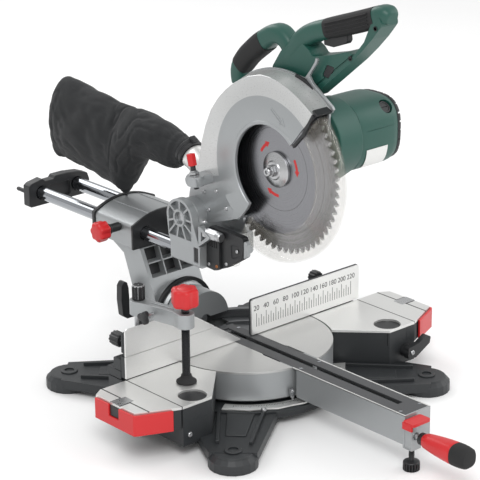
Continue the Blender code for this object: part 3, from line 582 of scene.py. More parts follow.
def build_guard():
    steps = 96
    # Reach from the axle and height beyond which the guard is drawn lighter, as a painted highlight on its
    # upper rim.
    highlight_from, highlight_above = 112.5, 330
    inner = arc(BLADE, 70, 134, -52, 60) + [(-33, 229), (-27, 219), (-14, 204), (-5, 198)]
    rim = [(-166, 391.5), (-151, 401.5), (-133, 412), (-115, 420), (-93, 426.5), (-75, 429.5), (-56, 429),
           (-28, 421), (0, 406), (20, 391), (37, 374.5), (53, 354), (66, 327), (75, 300), (80, 275)]
    tail = [(88, 256), (98, 238), (106, 210), (108, 188), (99, 170), (82, 169), (66, 174), (45, 180),
            (20, 189)]
    outer = rim + tail + [(-5, 198)]
    right = [(-171, 396)] + arc(GUARD_CENTRE, 150.5, 129, 3, 60) + tail + [(-4, 196)]
    inner, outer, right = polyline(inner, steps), polyline(outer, steps), polyline(right, steps)
    # Each row runs from the inner edge to the rim and over to the right side. A point lies at most so many
    # millimetres, and at most that share of the way, from the inner edge.
    rows = []
    for a, b, c in zip(inner, outer, right):
        length = max((b - a).length, 1e-6)
        n = (b - a) / length
        step = min(41, length * 0.6)
        section = ((0.4, 1, -17.5), (0, 1, -19), (0, 1, -22.2), (0.8, 1, -23.2), (5, 0.1, -23.2),
                   (6.2, 0.15, -22.2), (9, 0.3, -21.9), (step - 1, 1, -22.4), (step + 1.2, 1, -21.2),
                   (length, 0.96, -21.6), (length, 0.99, -21.2))
        rows.append([(x, *(a + n * min(most, length * share))) for most, share, x in section] + [
            (-20.4, b.x, b.y), (-18.5, b.x, b.y), (-5, (b.x + c.x) / 2, (b.y + c.y) / 2), (8.8, c.x, c.y)])
    guard = sheet("guard_shell", rows, "head", "casting", 2.4, angle=30, replaces=["upper_guard"])
    # The rim band past that reach and above that height takes the lighter casting: a smoother band whose
    # lighter shade is a painted highlight.
    guard.data.materials.append(MATERIALS["casting_painted_highlight"])
    axle = (Vector((0, *BLADE)) + FRAME_SHIFT) * MM
    for face in guard.data.polygons:
        reach = hypot(face.center.y - axle.y, face.center.z - axle.z) / MM
        if reach > highlight_from and face.center.z > highlight_above * MM:
            face.material_index = 1
    wall = [(-127, 335.5), (-148, 357.5), (-168.5, 391.5), (-165, 393), (-145, 361), (-125, 339.5)]
    hood = [(-175, 393.5), (-165, 399.5), (-163, 396.5), (-172, 390.5)]
    piece("guard_edge_seal", merge(prism(wall, -22.6, -17, "X"), prism(hood, -20, 8.6, "X")), "head",
          "black", 0.4)
    plate = arc(GUARD_CENTRE, 152, 62, 100, 12) + [(-116, 430), (-121, 436), (-129, 446), (-137, 458),
            (-139, 464), (-143, 462), (-140, 455), (-131, 443), (-126, 435), (-133, 426), (-172.5, 400),
            (-175.5, 396), (-172, 391), (-167, 388), (-165.5, 362), (-170, 352), (-158, 330), (-132, 262),
            (-104, 240), (-40, 240), (-6, 228), (20, 200), (58, 178), (100, 184), (107, 208), (99, 236),
            (86, 258), (78, 290), (60, 350), (30, 392)]
    piece("guard_back_plate", prism(plate, 9.4, 13.6, "X"), "head", "casting", 0.5, replaces=["drive_case"],
          cutters=[cylinder((0, *BLADE), "X", 15.6, 0, 30), cylinder((0, *PIVOT), "X", 27.4, -5, 30)])
    dark = [(-168, 392), (-160, 399), (-128, 424), (-120, 430), (-100, 434), (-100, 428), (-150, 400),
            (-164, 360)]
    piece("plate_liner", prism(dark, 6.6, 9.2, "X"), "head", "black", 0.3)
    case = prism(link(BLADE, 50, MOTOR, 57.6, 48), 14, 57.6, "X")
    piece("gear_case", case, "head", "green", 2.5, segments=3, replaces=["belt_cover"], cutters=[
        prism(link(BLADE, 45, MOTOR, 52, 48), 18, 54, "X"), cylinder((0, *BLADE), "X", 15.6, 5, 30),
        cylinder((0, *MOTOR), "X", 9, 50, 70)])
    arm = [(-40, 246), (58, 173), (78, 159), (104, 161), (112, 190), (104, 214), (86, 258), (-20, 328)]
    hub = turned([(9.4, -40), (25, -40), (27, -38), (27, 38), (25, 40), (9.4, 40)], (0, *PIVOT), "X", 64)
    piece("hinge_arm", prism(rounded(arm, 6), 13.7, 23.4, "X"), "head", "casting", 1.2, additions=[hub],
          cutters=[cylinder((0, *PIVOT), "X", 9.4, -60, 60), ring((0, *PIVOT), "X", 12, 22, 30, 60)])
    arrow = [(0, 0), (24, 0), (24, -4.5), (36, 2.6), (24, 9.5), (24, 5), (0, 5)]
    inside = [(1.4, 1.4), (25.4, 1.4), (25.4, -1.8), (33, 2.6), (25.4, 7), (25.4, 3.6), (1.4, 3.6)]
    turn = radians(-36)
    spot = Vector((-79, 382))
    arrow, inside = ([(spot.x - (u * cos(turn) - v * sin(turn)), spot.y + (u * sin(turn) + v * cos(turn)))
                      for u, v in path] for path in (arrow, inside))
    piece("guard_arrow", prism(arrow, -22.9, -21.4, "X"), "head", "casting", 0.2,
          cutters=[prism(inside, -24, -20, "X")])
    lug = prism(rounded([(46, 241), (72, 241), (74, 249), (70, 256), (50, 256)], 4), -55, -20, "X")
    nose = cylinder((-46, 60, 0), "Z", 13, 241, 256, 48)
    stop_axis = pose((-46, 48, 196), -14)
    bore = moved(cylinder(ORIGIN, "Z", 4.5, 20, 90, 24), stop_axis)
    piece("depth_stop_lug", lug, "head", "casting", 0.8, cutters=[bore], additions=[nose])
    nut = moved(turned([(4.6, 57.5), (8.6, 57.5), (8.6, 61.6), (4.6, 61.6)], segments=6), stop_axis)
    piece("depth_stop_nut", nut, "head", "steel", 0.5)
    rod = [(0, 40), (3.4, 40), (4, 41), (4, 78), (0, 78)]
    piece("stop_rod", moved(turned(rod, segments=32), stop_axis), "depth_stop", "black", 0.2,
          replaces=["depth_stop_screw"])
    jam = merge(turned([(0, 62.4), (8.2, 62.4), (8.2, 66), (0, 66)], segments=6),
                turned([(0, 66.1), (6.4, 66.1), (6.4, 68.4), (0, 68.4)], segments=6))
    piece("stop_jam_nut", moved(jam, stop_axis), "depth_stop", "steel", 0.4)
    cap = lobed(ORIGIN, "Z", 6.9, 75.4, 94, 6, 0.7, 1.6, 48)
    piece("stop_red_cap", moved(cap, stop_axis), "depth_stop", "red", 0)
    for i, (y, z) in enumerate(((20, 208), (42, 230), (70, 222), (60, 196))):
        screw(f"guard_screw_{i}", (-21.2, y, z), "X", -1, "head", 3.4, 1.8)


def build_blade():
    teeth = 60
    pitch = 2 * pi / teeth
    gullet = ((0.2, 0.0), (0, 0.05), (1.3, 0.22), (4.5, 0.45), (8.2, 0.62), (9.4, 0.74), (8.6, 0.85),
              (5.5, 0.92))
    points = [polar(BLADE, BLADE_RADIUS - depth, -pitch * (i + share)) for i in range(teeth)
              for depth, share in gullet]
    slots = []
    for i in range(6):
        a = radians(20 + 60 * i)
        line = [polar(BLADE, r, a + (BLADE_RADIUS - r) * 0.004) for r in (120, 112, 104, 96)]
        side = [(y + 0.7 * sin(a), z - 0.7 * cos(a)) for y, z in reversed(line)]
        slots.append(prism(line + side, -3, 3, "X"))
    piece("blade_plate", prism(points, -1.1, 1.1, "X"), "blade", "blade", 0, replaces=["saw_blade"],
          cutters=[cylinder((0, *BLADE), "X", 15.4, -5, 5)] + slots)
    tip = ((5.5, 0.028), (0.3, 0.002), (0, -0.004), (0.9, -0.02), (5.2, -0.008))
    tips = [prism([polar(BLADE, BLADE_RADIUS - depth, s - pitch * i) for depth, s in tip], -1.35, 1.35, "X")
            for i in range(teeth)]
    piece("blade_tips", merge(*tips), "blade", "steel", 0)
    rings = [ring((0, *BLADE), "X", r, r + w, -1.16, -1.05, 96) for r, w in ((97, 0.5), (62, 0.4))]
    piece("blade_rings", merge(*rings), "blade", "ink", 0)
    arrows = []
    for start in (28, 148, 268):
        band = arc(BLADE, 38.5, start, start + 24, 8) + arc(BLADE, 43, start + 24, start, 8)
        head = [polar(BLADE, r, radians(start + t)) for r, t in ((35.8, 24), (41, 36), (45.8, 24))]
        arrows += [prism(band, -1.18, -1.05, "X"), prism(head, -1.18, -1.05, "X")]
    piece("blade_arrows", merge(*arrows), "blade", "red_ink", 0)
    washer = turned([(0, -9), (11, -11.5), (13, -11), (14.5, -9.2), (25.4, -6.6), (26.6, -5.6),
                     (26.6, -1.4), (0, -1.4)], (0, *BLADE), "X", 72)
    piece("flange_plate", washer, "blade", "steel", 0.3, replaces=["arbor_flange"])
    bolt = cylinder((0, *BLADE), "X", 9, -18, -11.2, 6)
    shank = turned([(0, -24), (5.6, -24), (6.4, -23), (6.4, -17), (0, -17)], (0, *BLADE), "X", 32)
    socket = cylinder((0, *BLADE), "X", 3.2, -30, -20.5, 6)
    piece("arbor_bolt", bolt, "blade", "steel", 0.6)
    piece("arbor_stud", shank, "blade", "steel", 0.3, cutters=[socket])


def build_lower_guard():
    rows = []
    profile = [(93, -13.2), (93, -15.6), (95, -16), (132, -16), (136.5, -14.2), (138, -10.5), (138, 2),
               (136.5, 5.6), (132, 7), (34, 7)]
    steps = 64
    for i in range(steps + 1):
        a = radians(134 + (300 - 134) * i / steps)
        rows.append([(x, *polar(BLADE, r, a)) for r, x in profile])
    sheet("clear_guard", rows, "lower_guard", "clear", 2.0, replaces=["lower_guard"])
    hub = ring((0, *BLADE), "X", 26, 35, 5.2, 8.8, 64)
    piece("lower_guard_hub", hub, "lower_guard", "black", 0.4)
    ribs = []
    for start in (136, 218, 297):
        a = radians(start)
        u, v = Vector((cos(a), sin(a))), Vector((-sin(a), cos(a))) * 1.1
        o = Vector(BLADE)
        corners = [o + u * 94 - v, o + u * 136 - v, o + u * 136 + v, o + u * 94 + v]
        ribs.append(prism([tuple(c) for c in corners], -17.4, -13.5, "X"))
    piece("lower_guard_ribs", merge(*ribs), "lower_guard", "clear", 0.4)


# ---------------------------------------------------------------- motor and handles

def squarish(x, half, count=72, power=3.0):
    """A rounded-square ring about the motor's axis, at x."""
    return [(x, MOTOR[0] + half * u, MOTOR[1] + half * v) for u, v in squared_circle(count, power)]


def build_motor():
    axis = (0, *MOTOR)
    sections = [squarish(x, half) for x, half in (
        (57.8, 50), (59, 51.2), (64, 51.6), (84, 51.8), (104, 51.8), (124, 51.4),
        (130, 50.6), (134.5, 49), (136.2, 48.2))]
    spot = pose((118, *MOTOR), BRUSH_ANGLES[0])
    pocket = turned([(0, 47.4), (11.4, 47.4), (11.4, 60), (0, 60)], segments=40)
    vents = []
    for i in range(5):
        bar = block((70 + i * 9, -20, 44), (73.4 + i * 9, 20, 60))
        vents.append(moved(bar, pose(axis, -92)))
    seam = block((70, MOTOR[0] - 60, 352), (140, MOTOR[0] - 50.9, 353.2))
    piece("motor_shell", loft(sections), "head", "green", 0.5, replaces=["motor_housing"],
          cutters=[moved(pocket, spot), seam, cylinder(axis, "X", 45.5, 62, 150, 64),
                   cylinder(axis, "X", 9, 50, 70)] + vents)
    cap = [squarish(x, half) for x, half in (
        (136.4, 48.4), (139, 49), (142, 48.6), (146, 45), (149, 40), (150, 34))]
    slots = []
    for i in range(24):
        bar = block((138.4, -1.5, 41), (152, 1.5, 60))
        slots.append(moved(bar, pose(axis, 15 * i)))
    for z in range(-3, 4):
        slots.append(block((147.6, MOTOR[0] - 26, MOTOR[1] + z * 7 - 1.4),
                           (152, MOTOR[0] + 26, MOTOR[1] + z * 7 + 1.4)))
    slots.append(cylinder(axis, "X", 38, 130, 142, 64))
    piece("motor_cap", loft(cap), "head", "black", 0.4, replaces=["motor_end_cap"], cutters=slots)
    for i, a in enumerate(BRUSH_ANGLES):
        place = pose((118, *MOTOR), a)
        boss = turned([(0, 44), (10.4, 44), (10.4, 53), (9.4, 54), (7.4, 54), (6.8, 53.2), (0, 53.2)],
                      segments=40)
        notch = block((-5.4, -0.8, 52.2), (5.4, 0.8, 56))
        piece(f"brush_cap_{i}", moved(boss, place), "head", "black", 0.3, cutters=[moved(notch, place)])
    sheet("rating_plate", [squarish(x, 52.5, 180)[98:115] for x in (70, 80, 90, 100, 112)], "head",
          "machined", 0.6, 0.0)


def tube(stations, count=28, power=3.2):
    """A loft through stations of (centre, tangent, half width along X, half height), rounded-square."""
    sections = []
    for (y, z), (ty, tz), half_x, half_n in stations:
        length = hypot(ty, tz)
        ny, nz = -tz / length, ty / length
        sections.append([(HANDLE_X + half_x * u, y + ny * half_n * v, z + nz * half_n * v)
                         for u, v in squared_circle(count, power)])
    return sections


def spline(a, b, c, d, t):
    """A Catmull-Rom curve between b and c, and its slope."""
    bend, twist = 2 * a - 5 * b + 4 * c - d, 3 * b - a - 3 * c + d
    point = 0.5 * (2 * b + (c - a) * t + bend * t * t + twist * t ** 3)
    return point, 0.5 * (c - a + 2 * bend * t + 3 * twist * t * t)


def path_stations(points, half_x, half_n, steps=6):
    """Stations along a smooth curve through points; the halves are one number, or one a point."""
    points = [Vector(p) for p in points]
    out, last = [], len(points) - 1
    wide = half_x if isinstance(half_x, list) else [half_x] * len(points)
    high = half_n if isinstance(half_n, list) else [half_n] * len(points)
    for i in range(last):
        near = [points[k] for k in (max(i - 1, 0), i, i + 1, min(i + 2, last))]
        for k in range(steps if i < last - 1 else steps + 1):
            t = k / steps
            p, d = spline(*near, t)
            out.append((p, d, wide[i] + (wide[i + 1] - wide[i]) * t, high[i] + (high[i + 1] - high[i]) * t))
    return out


def build_handles():
    base = [(-36, 399), (-36, 430), (-54, 456), (-90, 480), (-112, 468), (-120, 460), (-160, 470),
            (-186, 479), (-204, 479), (-222, 500), (-236, 530), (-252, 540), (-255, 528), (-238, 507),
            (-218, 486), (-198, 467), (-156, 432), (-116, 399)]
    grooves = []
    for x0, x1 in ((19, 23.2), (52.8, 57)):
        line = [(-60, 412), (-128, 418), (-206, 480), (-204, 482), (-127, 420.5), (-60, 414.5)]
        grooves.append(prism(line, x0, x1, "X"))
    recess = prism(rounded([(-149, 454), (-166, 453), (-152, 434), (-139, 435)], 3), 18, 24, "X")
    piece("handle_body", prism(rounded(base, 7, 5), 21.5, 54.5, "X"), "head", "green", 4.0, segments=4,
          replaces=["main_handle"], cutters=grooves + [recess])
    badge = prism(rounded([(-148.6, 453.4), (-165, 452.4), (-151.8, 434.6), (-139.6, 435.6)], 3), 22.6,
                  24.6, "X")
    piece("handle_badge", badge, "head", "black", 0.4)
    post = path_stations([(-50, 412), (-62, 442), (-88, 476), (-110, 491), (-134, 500), (-146, 505)],
                         [15, 16.4, 17.4, 17.4, 17, 16.4], [14, 15, 15.5, 15, 14.6, 14.4])
    piece("handle_post", loft(tube(post)), "head", "green", 0,
          cutters=[cylinder(LOCK_BUTTON, "Z", 5.6, 489, 530, 32), block((32, -180, 470), (44, -128, 505))])
    grip = path_stations([(-140, 502.5), (-160, 509), (-198, 522), (-236, 536)], [17.2, 17.8, 17.8, 17.2],
                         [14.8, 15.4, 15.6, 15.2])
    piece("handle_grip_sleeve", loft(tube(grip)), "head", "rubber", 0,
          cutters=[block((32, -180, 470), (44, -120, 506))])
    nose = path_stations([(-228, 532), (-243, 538), (-252, 539), (-260, 537)], [16.4, 16.6, 15.5, 10],
                         [15, 15.5, 14, 8])
    piece("handle_nose", loft(tube(nose)), "head", "green", 0)
    ribs = []
    for i in range(4):
        rib = path_stations([(-147, 505), (-168, 512), (-200, 523), (-230, 534)], 1.2, 1.0, 4)
        bm = loft(tube(rib, 8, 2))
        offset = 8 * (i - 1.5)
        ribs.append(moved(bm, Matrix.Translation((-17.9, 1.5 + offset * 0.12, offset * 0.62))))
    piece("grip_ribs", merge(*ribs), "head", "rubber", 0)
    for i, (y, z) in enumerate(((-90, 478), (-244, 523), (-196, 472), (-60, 428))):
        head = [(0, 0), (3.6, 0), (3.6, -1.2), (2.6, -1.2), (2.6, -0.4), (0, -0.4)]
        piece(f"handle_screw_{i}", turned(head, (21.9, y, z), "X", 20), "head", "black", 0)
    button = [(0, 494), (5.2, 494), (5.2, 505.6), (4, 506.8), (0, 507.2)]
    piece("lock_button_cap", turned(button, LOCK_BUTTON, "Z", 32), "lock_button", "black", 0.2,
          replaces=["lock_off_button"])
    lever = rounded([(-131, 477), (-150, 477), (-176, 487), (-179, 492), (-178, 500), (-130, 499)], 3)
    piece("trigger_lever", prism(lever, 32.6, 43.4, "X"), "trigger", "black", 1.4, segments=3,
          replaces=["trigger"])
    line = [(50, 385), (50, 408), (31, 430), (2, 455), (-30, 474), (-52, 468), (-66, 446), (-70, 425)]
    arch = path_stations(line, [13, 14, 15, 15.5, 15, 14, 13, 13], [13, 14, 15, 16, 15, 13, 12, 12])
    piece("carry_arch", loft(tube(arch)), "head", "green", 0, replaces=["carry_handle"])
    sleeve = path_stations([(47, 413), (31, 431), (8, 450), (-6, 460)], [15.2, 16, 16.2, 16],
                           [15.2, 16.2, 17, 16.6])
    piece("carry_sleeve", loft(tube(sleeve)), "head", "rubber", 0)


# ---------------------------------------------------------------- dust bag and port

PORT = pose((0, 80, 243), -63.4)


def smooth_stations(stations, steps):
    """Values on smooth curves between rows of numbers."""
    out, last = [], len(stations) - 1
    for i in range(last):
        near = [stations[k] for k in (max(i - 1, 0), i, i + 1, min(i + 2, last))]
        out += [tuple(spline(*column, k / steps)[0] for column in zip(*near)) for k in range(steps)]
    return out + [stations[-1]]


def ripple(x, y, z):
    return noise.noise(Vector((x, y, z)))


def build_bag():
    tube_profile = [(16, 1), (19, 1), (19, 40), (19.6, 41), (19.6, 44), (18.6, 46.5), (16, 46.5)]
    piece("port_tube", moved(turned(tube_profile, segments=64), PORT), "head", "machined", 0.3,
          replaces=["dust_port"])
    collar = [(18.8, 47.2), (21.4, 47.2), (22.4, 48.4), (22.4, 51), (21.2, 52), (21.2, 55), (22.4, 56),
              (22.4, 60), (21, 61.5), (18.8, 61.5)]
    piece("bag_collar", moved(turned(collar, segments=64), PORT), "head", "black", 0.3)
    tab = moved(block((-5, -27, 49), (5, -20, 60)), PORT)
    piece("collar_tab", tab, "head", "black", 1.0)
    rows = [(127, 19, 246, 283, 2.1), (140, 21, 243, 288, 2.1), (160, 26, 233, 294, 2.1),
            (190, 31, 234, 303, 2.0), (222, 36, 235, 306, 1.9), (240, 38, 222, 307.5, 1.85),
            (256, 39, 205, 308.5, 1.8), (268, 38, 186, 309, 1.75), (278, 37, 168, 310, 1.7),
            (286, 36, 161, 310.5, 1.7), (298, 37, 168, 311.5, 1.75), (340, 40, 175, 315.5, 1.8),
            (385, 40, 182, 320, 1.8), (418, 37, 184, 325, 1.85), (438, 32, 186, 323, 1.95),
            (449, 27, 184, 306, 2.1), (456, 21, 186, 284, 2.3), (460, 13, 191, 262, 2.4)]
    sections = []
    for y, half, low, high, power in smooth_stations(rows, 5):
        mid, tall = (low + high) / 2, (high - low) / 2
        sections.append([(half * u, y, mid + tall * v) for u, v in squared_circle(96, power)])
    bm = loft(sections)
    bm.normal_update()
    for v in bm.verts:
        p = v.co
        free = min(1.0, max(0.0, (p.y - 136) / 50)) * min(1.0, max(0.0, (462 - p.y) / 14))
        fold = ripple(p.x * 0.02, p.y * 0.026 + p.z * 0.02, p.z * 0.012 - p.y * 0.014) * 3.2
        fold += ripple(p.x * 0.05, p.y * 0.06 - p.z * 0.05, p.z * 0.045 + 7) * 1.5
        crease = abs(ripple(p.x * 0.03 + 3, (p.y + p.z * 0.7) * 0.045, (p.z - p.y) * 0.02))
        fold -= 3.0 * max(0.0, 1 - crease * 7)
        gather = abs(ripple(p.x * 0.06, p.y * 0.02, p.z * 0.06))
        neck = sin(p.y * 0.42 + p.z * 0.05) * 1.1 * max(0.0, 1 - abs(p.y - 150) / 26)
        neck -= 1.6 * max(0.0, 1 - gather * 8) * max(0.0, 1 - abs(p.y - 165) / 40)
        side = abs(v.normal.x)
        v.co += v.normal * ((fold - 0.6) * free * (0.35 + 0.65 * side) + neck)
    bag = make_object("dust_bag_cloth", bm)
    soften(bag, 0, 0, 60)
    modifier = bag.modifiers.new("smooth", "SUBSURF")
    modifier.levels = modifier.render_levels = 1
    apply_modifiers(bag)
    bag.data.shade_smooth()
    dress(bag, "head", "fabric", ["dust_bag"])
    pull = merge(prism(rounded([(283, 150), (289, 150), (288, 160), (284, 160)], 1.5), -1, 1, "X"),
                 ring((0, 286, 161), "X", 1.6, 3.2, -0.7, 0.7, 24))
    piece("bag_zip_pull", pull, "head", "black", 0.2)


# ---------------------------------------------------------------- bracket, light box, housing, rails

def lug_pocket(start, end):
    """One hollow between two spokes of a hinge lug, in (Y, Z)."""
    def reach(a):
        c, s = cos(radians(a)), sin(radians(a))
        limit = 26.0
        if s < 0:
            limit = min(31 / abs(s), 27 / max(0.05, abs(c)) if c < 0 else 25 / max(0.05, abs(c)), 44)
        return limit

    inner_gap = degrees(1.5 / 14)
    first = arc(PIVOT, 14.2, start + inner_gap, end - inner_gap, 6)
    second = []
    for i in range(13):
        a = end + (start - end) * i / 12
        r = reach(a)
        gap = degrees(1.5 / r)
        a = max(start + gap, min(end - gap, a))
        second.append(polar(PIVOT, reach(a), radians(a)))
    clean = []
    for p in first + second:
        if not clean or hypot(p[0] - clean[-1][0], p[1] - clean[-1][1]) > 0.4:
            clean.append(p)
    return clean


def build_bracket():
    body = front_prism(rounded([(-54, 116), (-50, 113), (50, 113), (54, 116), (54, 148), (-54, 148)], 3),
                       44, 112)
    lug = arc(PIVOT, 30, 0, 180, 40) + [(46, 150), (46, 140), (112, 140), (116, 150)]
    lugs = [prism(lug, x0, x1, "X") for x0, x1 in ((-54, -42), (42, 54))]
    cutters = [block((-24.5, 30, 100), (24.5, 92, 220)), cylinder((0, *PIVOT), "X", 9.3, -60, 60)]
    cutters += [cylinder((x, 0, RAILS_Z), "Y", 11.2, 50, 130) for x in RAILS_X]
    spokes = [-20, 35, 90, 135, 180, 214, 246, 282, 312, 340]
    for a, b in zip(spokes, spokes[1:]):
        for x0, x1 in ((-56, -46.5), (46.5, 56)):
            cutters.append(prism(lug_pocket(a, b), x0, x1, "X"))
    for x0, x1 in ((-56, -52.2), (52.2, 56)):
        cutters.append(prism(rounded([(47.5, 121), (58, 121), (58, 145), (47.5, 145)], 1.5), x0, x1, "X"))
    piece("bracket_casting", body, "carriage", "casting", 0.9, replaces=["head_bracket"], additions=lugs,
          cutters=cutters)
    for x in (-1, 1):
        rim = ring((0, *PIVOT), "X", 9.6, 13.2, *sorted((x * 54, x * 55.4)), 64)
        piece(f"hinge_rim_{'lr'[x > 0]}", rim, "carriage", "casting", 0.5)
    piece("lug_slot", prism(rounded([(48.2, 121.8), (57.4, 121.8), (57.4, 144.2), (48.2, 144.2)], 1.5),
                            -52.6, -52, "X"), "carriage", "black", 0)
    triangle = prism([(41, 158), (41, 174), (29, 168)], -60, -47, "X")
    piece("bracket_gusset", prism(rounded([(47, 148), (47, 181), (39, 179), (20, 168)], 2), -54, -44,
                                  "X"), "carriage", "casting", 0.7, cutters=[triangle])
    piece("stop_rest", cylinder((-45, 0, 171), "Y", 8.6, 12, 40, 6), "carriage", "steel", 0.8)
    piece("stop_rest_nose", turned([(0, 4), (6, 4), (7.4, 6), (7.4, 13), (0, 13)], (-45, 0, 171), "Y",
                                   40), "carriage", "steel", 0.4)
    screw("bracket_screw", (-44, 44, 186), "Z", 1, "carriage", 4.4, 3)
    shell = rounded([(43.6, 113.4), (26, 112.6), (2, 122.6), (-30, 143.4), (-34, 160), (-33.6, 178),
                     (0, 179), (43.6, 178)], 5)
    slots = [block((-44, 19 + 5 * i, 150), (-39.6, 21.4 + 5 * i, 164)) for i in range(4)]
    side = rounded([(43.6, 113.4), (26, 112.8), (15, 116.5), (14.4, 176), (43.6, 176)], 3)
    window = rounded([(-26, 148), (-8, 139), (-6, 160), (-25, 164)], 3)
    piece("light_box_shell", prism(shell, -36, -24.6, "X"), "carriage", "black", 1.6, segments=3,
          replaces=["light_box"], cutters=[prism(window, -43, -34.8, "X")])
    piece("light_box_side", prism(side, -41, -35, "X"), "carriage", "black", 1.2, segments=3, cutters=slots)
    for i, (x, y, z) in enumerate(((-40.8, 38, 120), (-40.8, 20, 121), (-35.8, -20, 154), (-35.8, 4, 128))):
        screw(f"box_screw_{i}", (x, y, z), "X", -1, "carriage", 2.8, 1.4, "steel" if i != 1 else "copper")
    tab = prism(rounded([(-35, 146), (-40, 150), (-41, 170), (-37, 174), (-33.6, 172), (-33.6, 148)], 2),
                -35, -27, "X")
    piece("box_front_tab", tab, "carriage", "casting", 0.8)
    lens = turned([(0, 0), (6, 0), (6, 3), (5, 4), (0, 4.6)], segments=32)
    place = pose((-32.5, -14, 133.4), 148)
    piece("work_light_lens", moved(lens, place), "carriage", "clear", 0.2)


def build_housing():
    side = rounded([(201, 0), (211, 31), (218, 50), (233, 88), (269, 106), (269, 130), (199, 130),
                    (199, 104.4), (192, 104.4), (160, 36), (150, 4), (150, 0)], 2)
    arch = [(-60, 106), (60, 106), (60, 142)] + arc((0, 40), 118, 69, 111, 24) + [(-60, 142)]
    top = front_prism(rounded(arch, [3, 3, 9] + [0] * 25 + [9], 5), 198.4, 289.6)
    hub = turned([(10.4, 141.4), (46, 141.4), (49.6, 145), (49.6, 200), (10.4, 200)], ORIGIN, "Y", 96)
    recess = prism([(138, 103.6), (138, 60), (186, 60), (203, 103.6)], -43, 43, "X")
    cutters = [recess]
    for x in RAILS_X:
        cutters.append(cylinder((x, 0, RAILS_Z), "Y", 11.6, 180, 320))
    cutters += [cylinder(SLIDE_KNOB, "X", 4.6, -80, -30), ring(ORIGIN, "Y", 40, 41.4, 130, 142.6)]
    piece("slide_housing", prism(side, -50, 50, "X"), "bevel_arm", "casting", 1.6, segments=3,
          replaces=["bevel_arm"], additions=[hub, top], cutters=cutters)
    ridges = []
    for t in (78, 102):
        a = radians(t)
        y, z = 118.2 * cos(a), 40 + 118.2 * sin(a)
        ridges.append(block((y - 1.0, 200, z - 2), (y + 1.0, 288, z + 0.7)))
    piece("housing_ridges", merge(*ridges), "bevel_arm", "casting", 0.4)
    liner = prism([(184.8, 60.4), (201.8, 103), (204, 103), (187, 60.4)], -42.6, 42.6, "X")
    piece("recess_liner", liner, "bevel_arm", "black", 0.2)
    ribs = [prism([(170, 60.2), (187, 60.2), (204, 103), (189, 103)], x - 1.1, x + 1.1, "X")
            for x in (-15, 15)]
    ribs.append(prism([(181, 80), (194.5, 80), (195.5, 82.2), (182, 82.2)], -42.4, 42.4, "X"))
    piece("recess_ribs", merge(*ribs), "bevel_arm", "casting", 0.3)
    for x in (-1, 1):
        screw(f"cover_screw_{'lr'[x > 0]}", (x * 4 + 8, 193.9, 143 if x > 0 else 112), "Y", -1,
              "bevel_arm", 3, 1.6)
    scale = ring(ORIGIN, "Y", 51, 57, 146, 152, 96)
    cut = block((-80, 130, -90), (80, 160, 8))
    piece("tilt_scale", scale, "turntable", "black", 0.4, cutters=[cut])
    knob = lobed(SLIDE_KNOB, "X", 16.4, -108, -87, 7, 2.0, 5)
    piece("slide_knob", knob, "slide_lock", "red", 0, replaces=["slide_lock_knob"])
    stem = turned([(0, -88), (9, -88), (9, -82), (7, -80), (7, -62.4), (4, -62), (4, -55), (0, -55)],
                  SLIDE_KNOB, "X", 40)
    piece("slide_knob_stem", stem, "slide_lock", "black", 0.4)
    cap = rounded([(-62, 108), (-62, 142), (-56, 146), (-34, 150), (-28, 145), (-12, 145), (-8, 150),
                   (16, 150), (42, 147), (58, 141), (62, 130), (62, 110), (56, 105.4), (-58, 105.4)], 3)
    sockets = [cylinder((x, 0, RAILS_Z), "Y", 11.4, 450, 472.2) for x in RAILS_X]
    hollow = rounded([(-22, 112), (22, 112), (22, 136), (-22, 136)], 4)
    piece("rail_cap", front_prism(cap, 464, 480), "carriage", "black", 1.4, segments=3,
          replaces=["rail_end_cap"], cutters=sockets + [front_prism(hollow, 460, 468)])
    peg = turned([(0, 478), (5, 478), (5, 484), (3.4, 486), (3.4, 505), (2.6, 507), (0, 507)],
                 (-54, 0, 128), "Y", 32)
    piece("cap_peg", peg, "carriage", "black", 0.2)
    lever = [(-14, -12), (-66, -12), (-74, -6), (-77, 20), (-76, 44), (-71, 51), (-65, 49), (-62, 38),
             (-61, 14), (-57, 9), (-14, 9)]
    boss = turned([(0, 206), (16, 206), (16, 219), (13, 222), (0, 222)], ORIGIN, "Y", 48)
    piece("bevel_handle", front_prism(rounded(lever, 4), 208, 220), "bevel_lever", "black", 2.5, segments=3,
          replaces=["bevel_lock_lever"], additions=[boss])


# ---------------------------------------------------------------- clamp

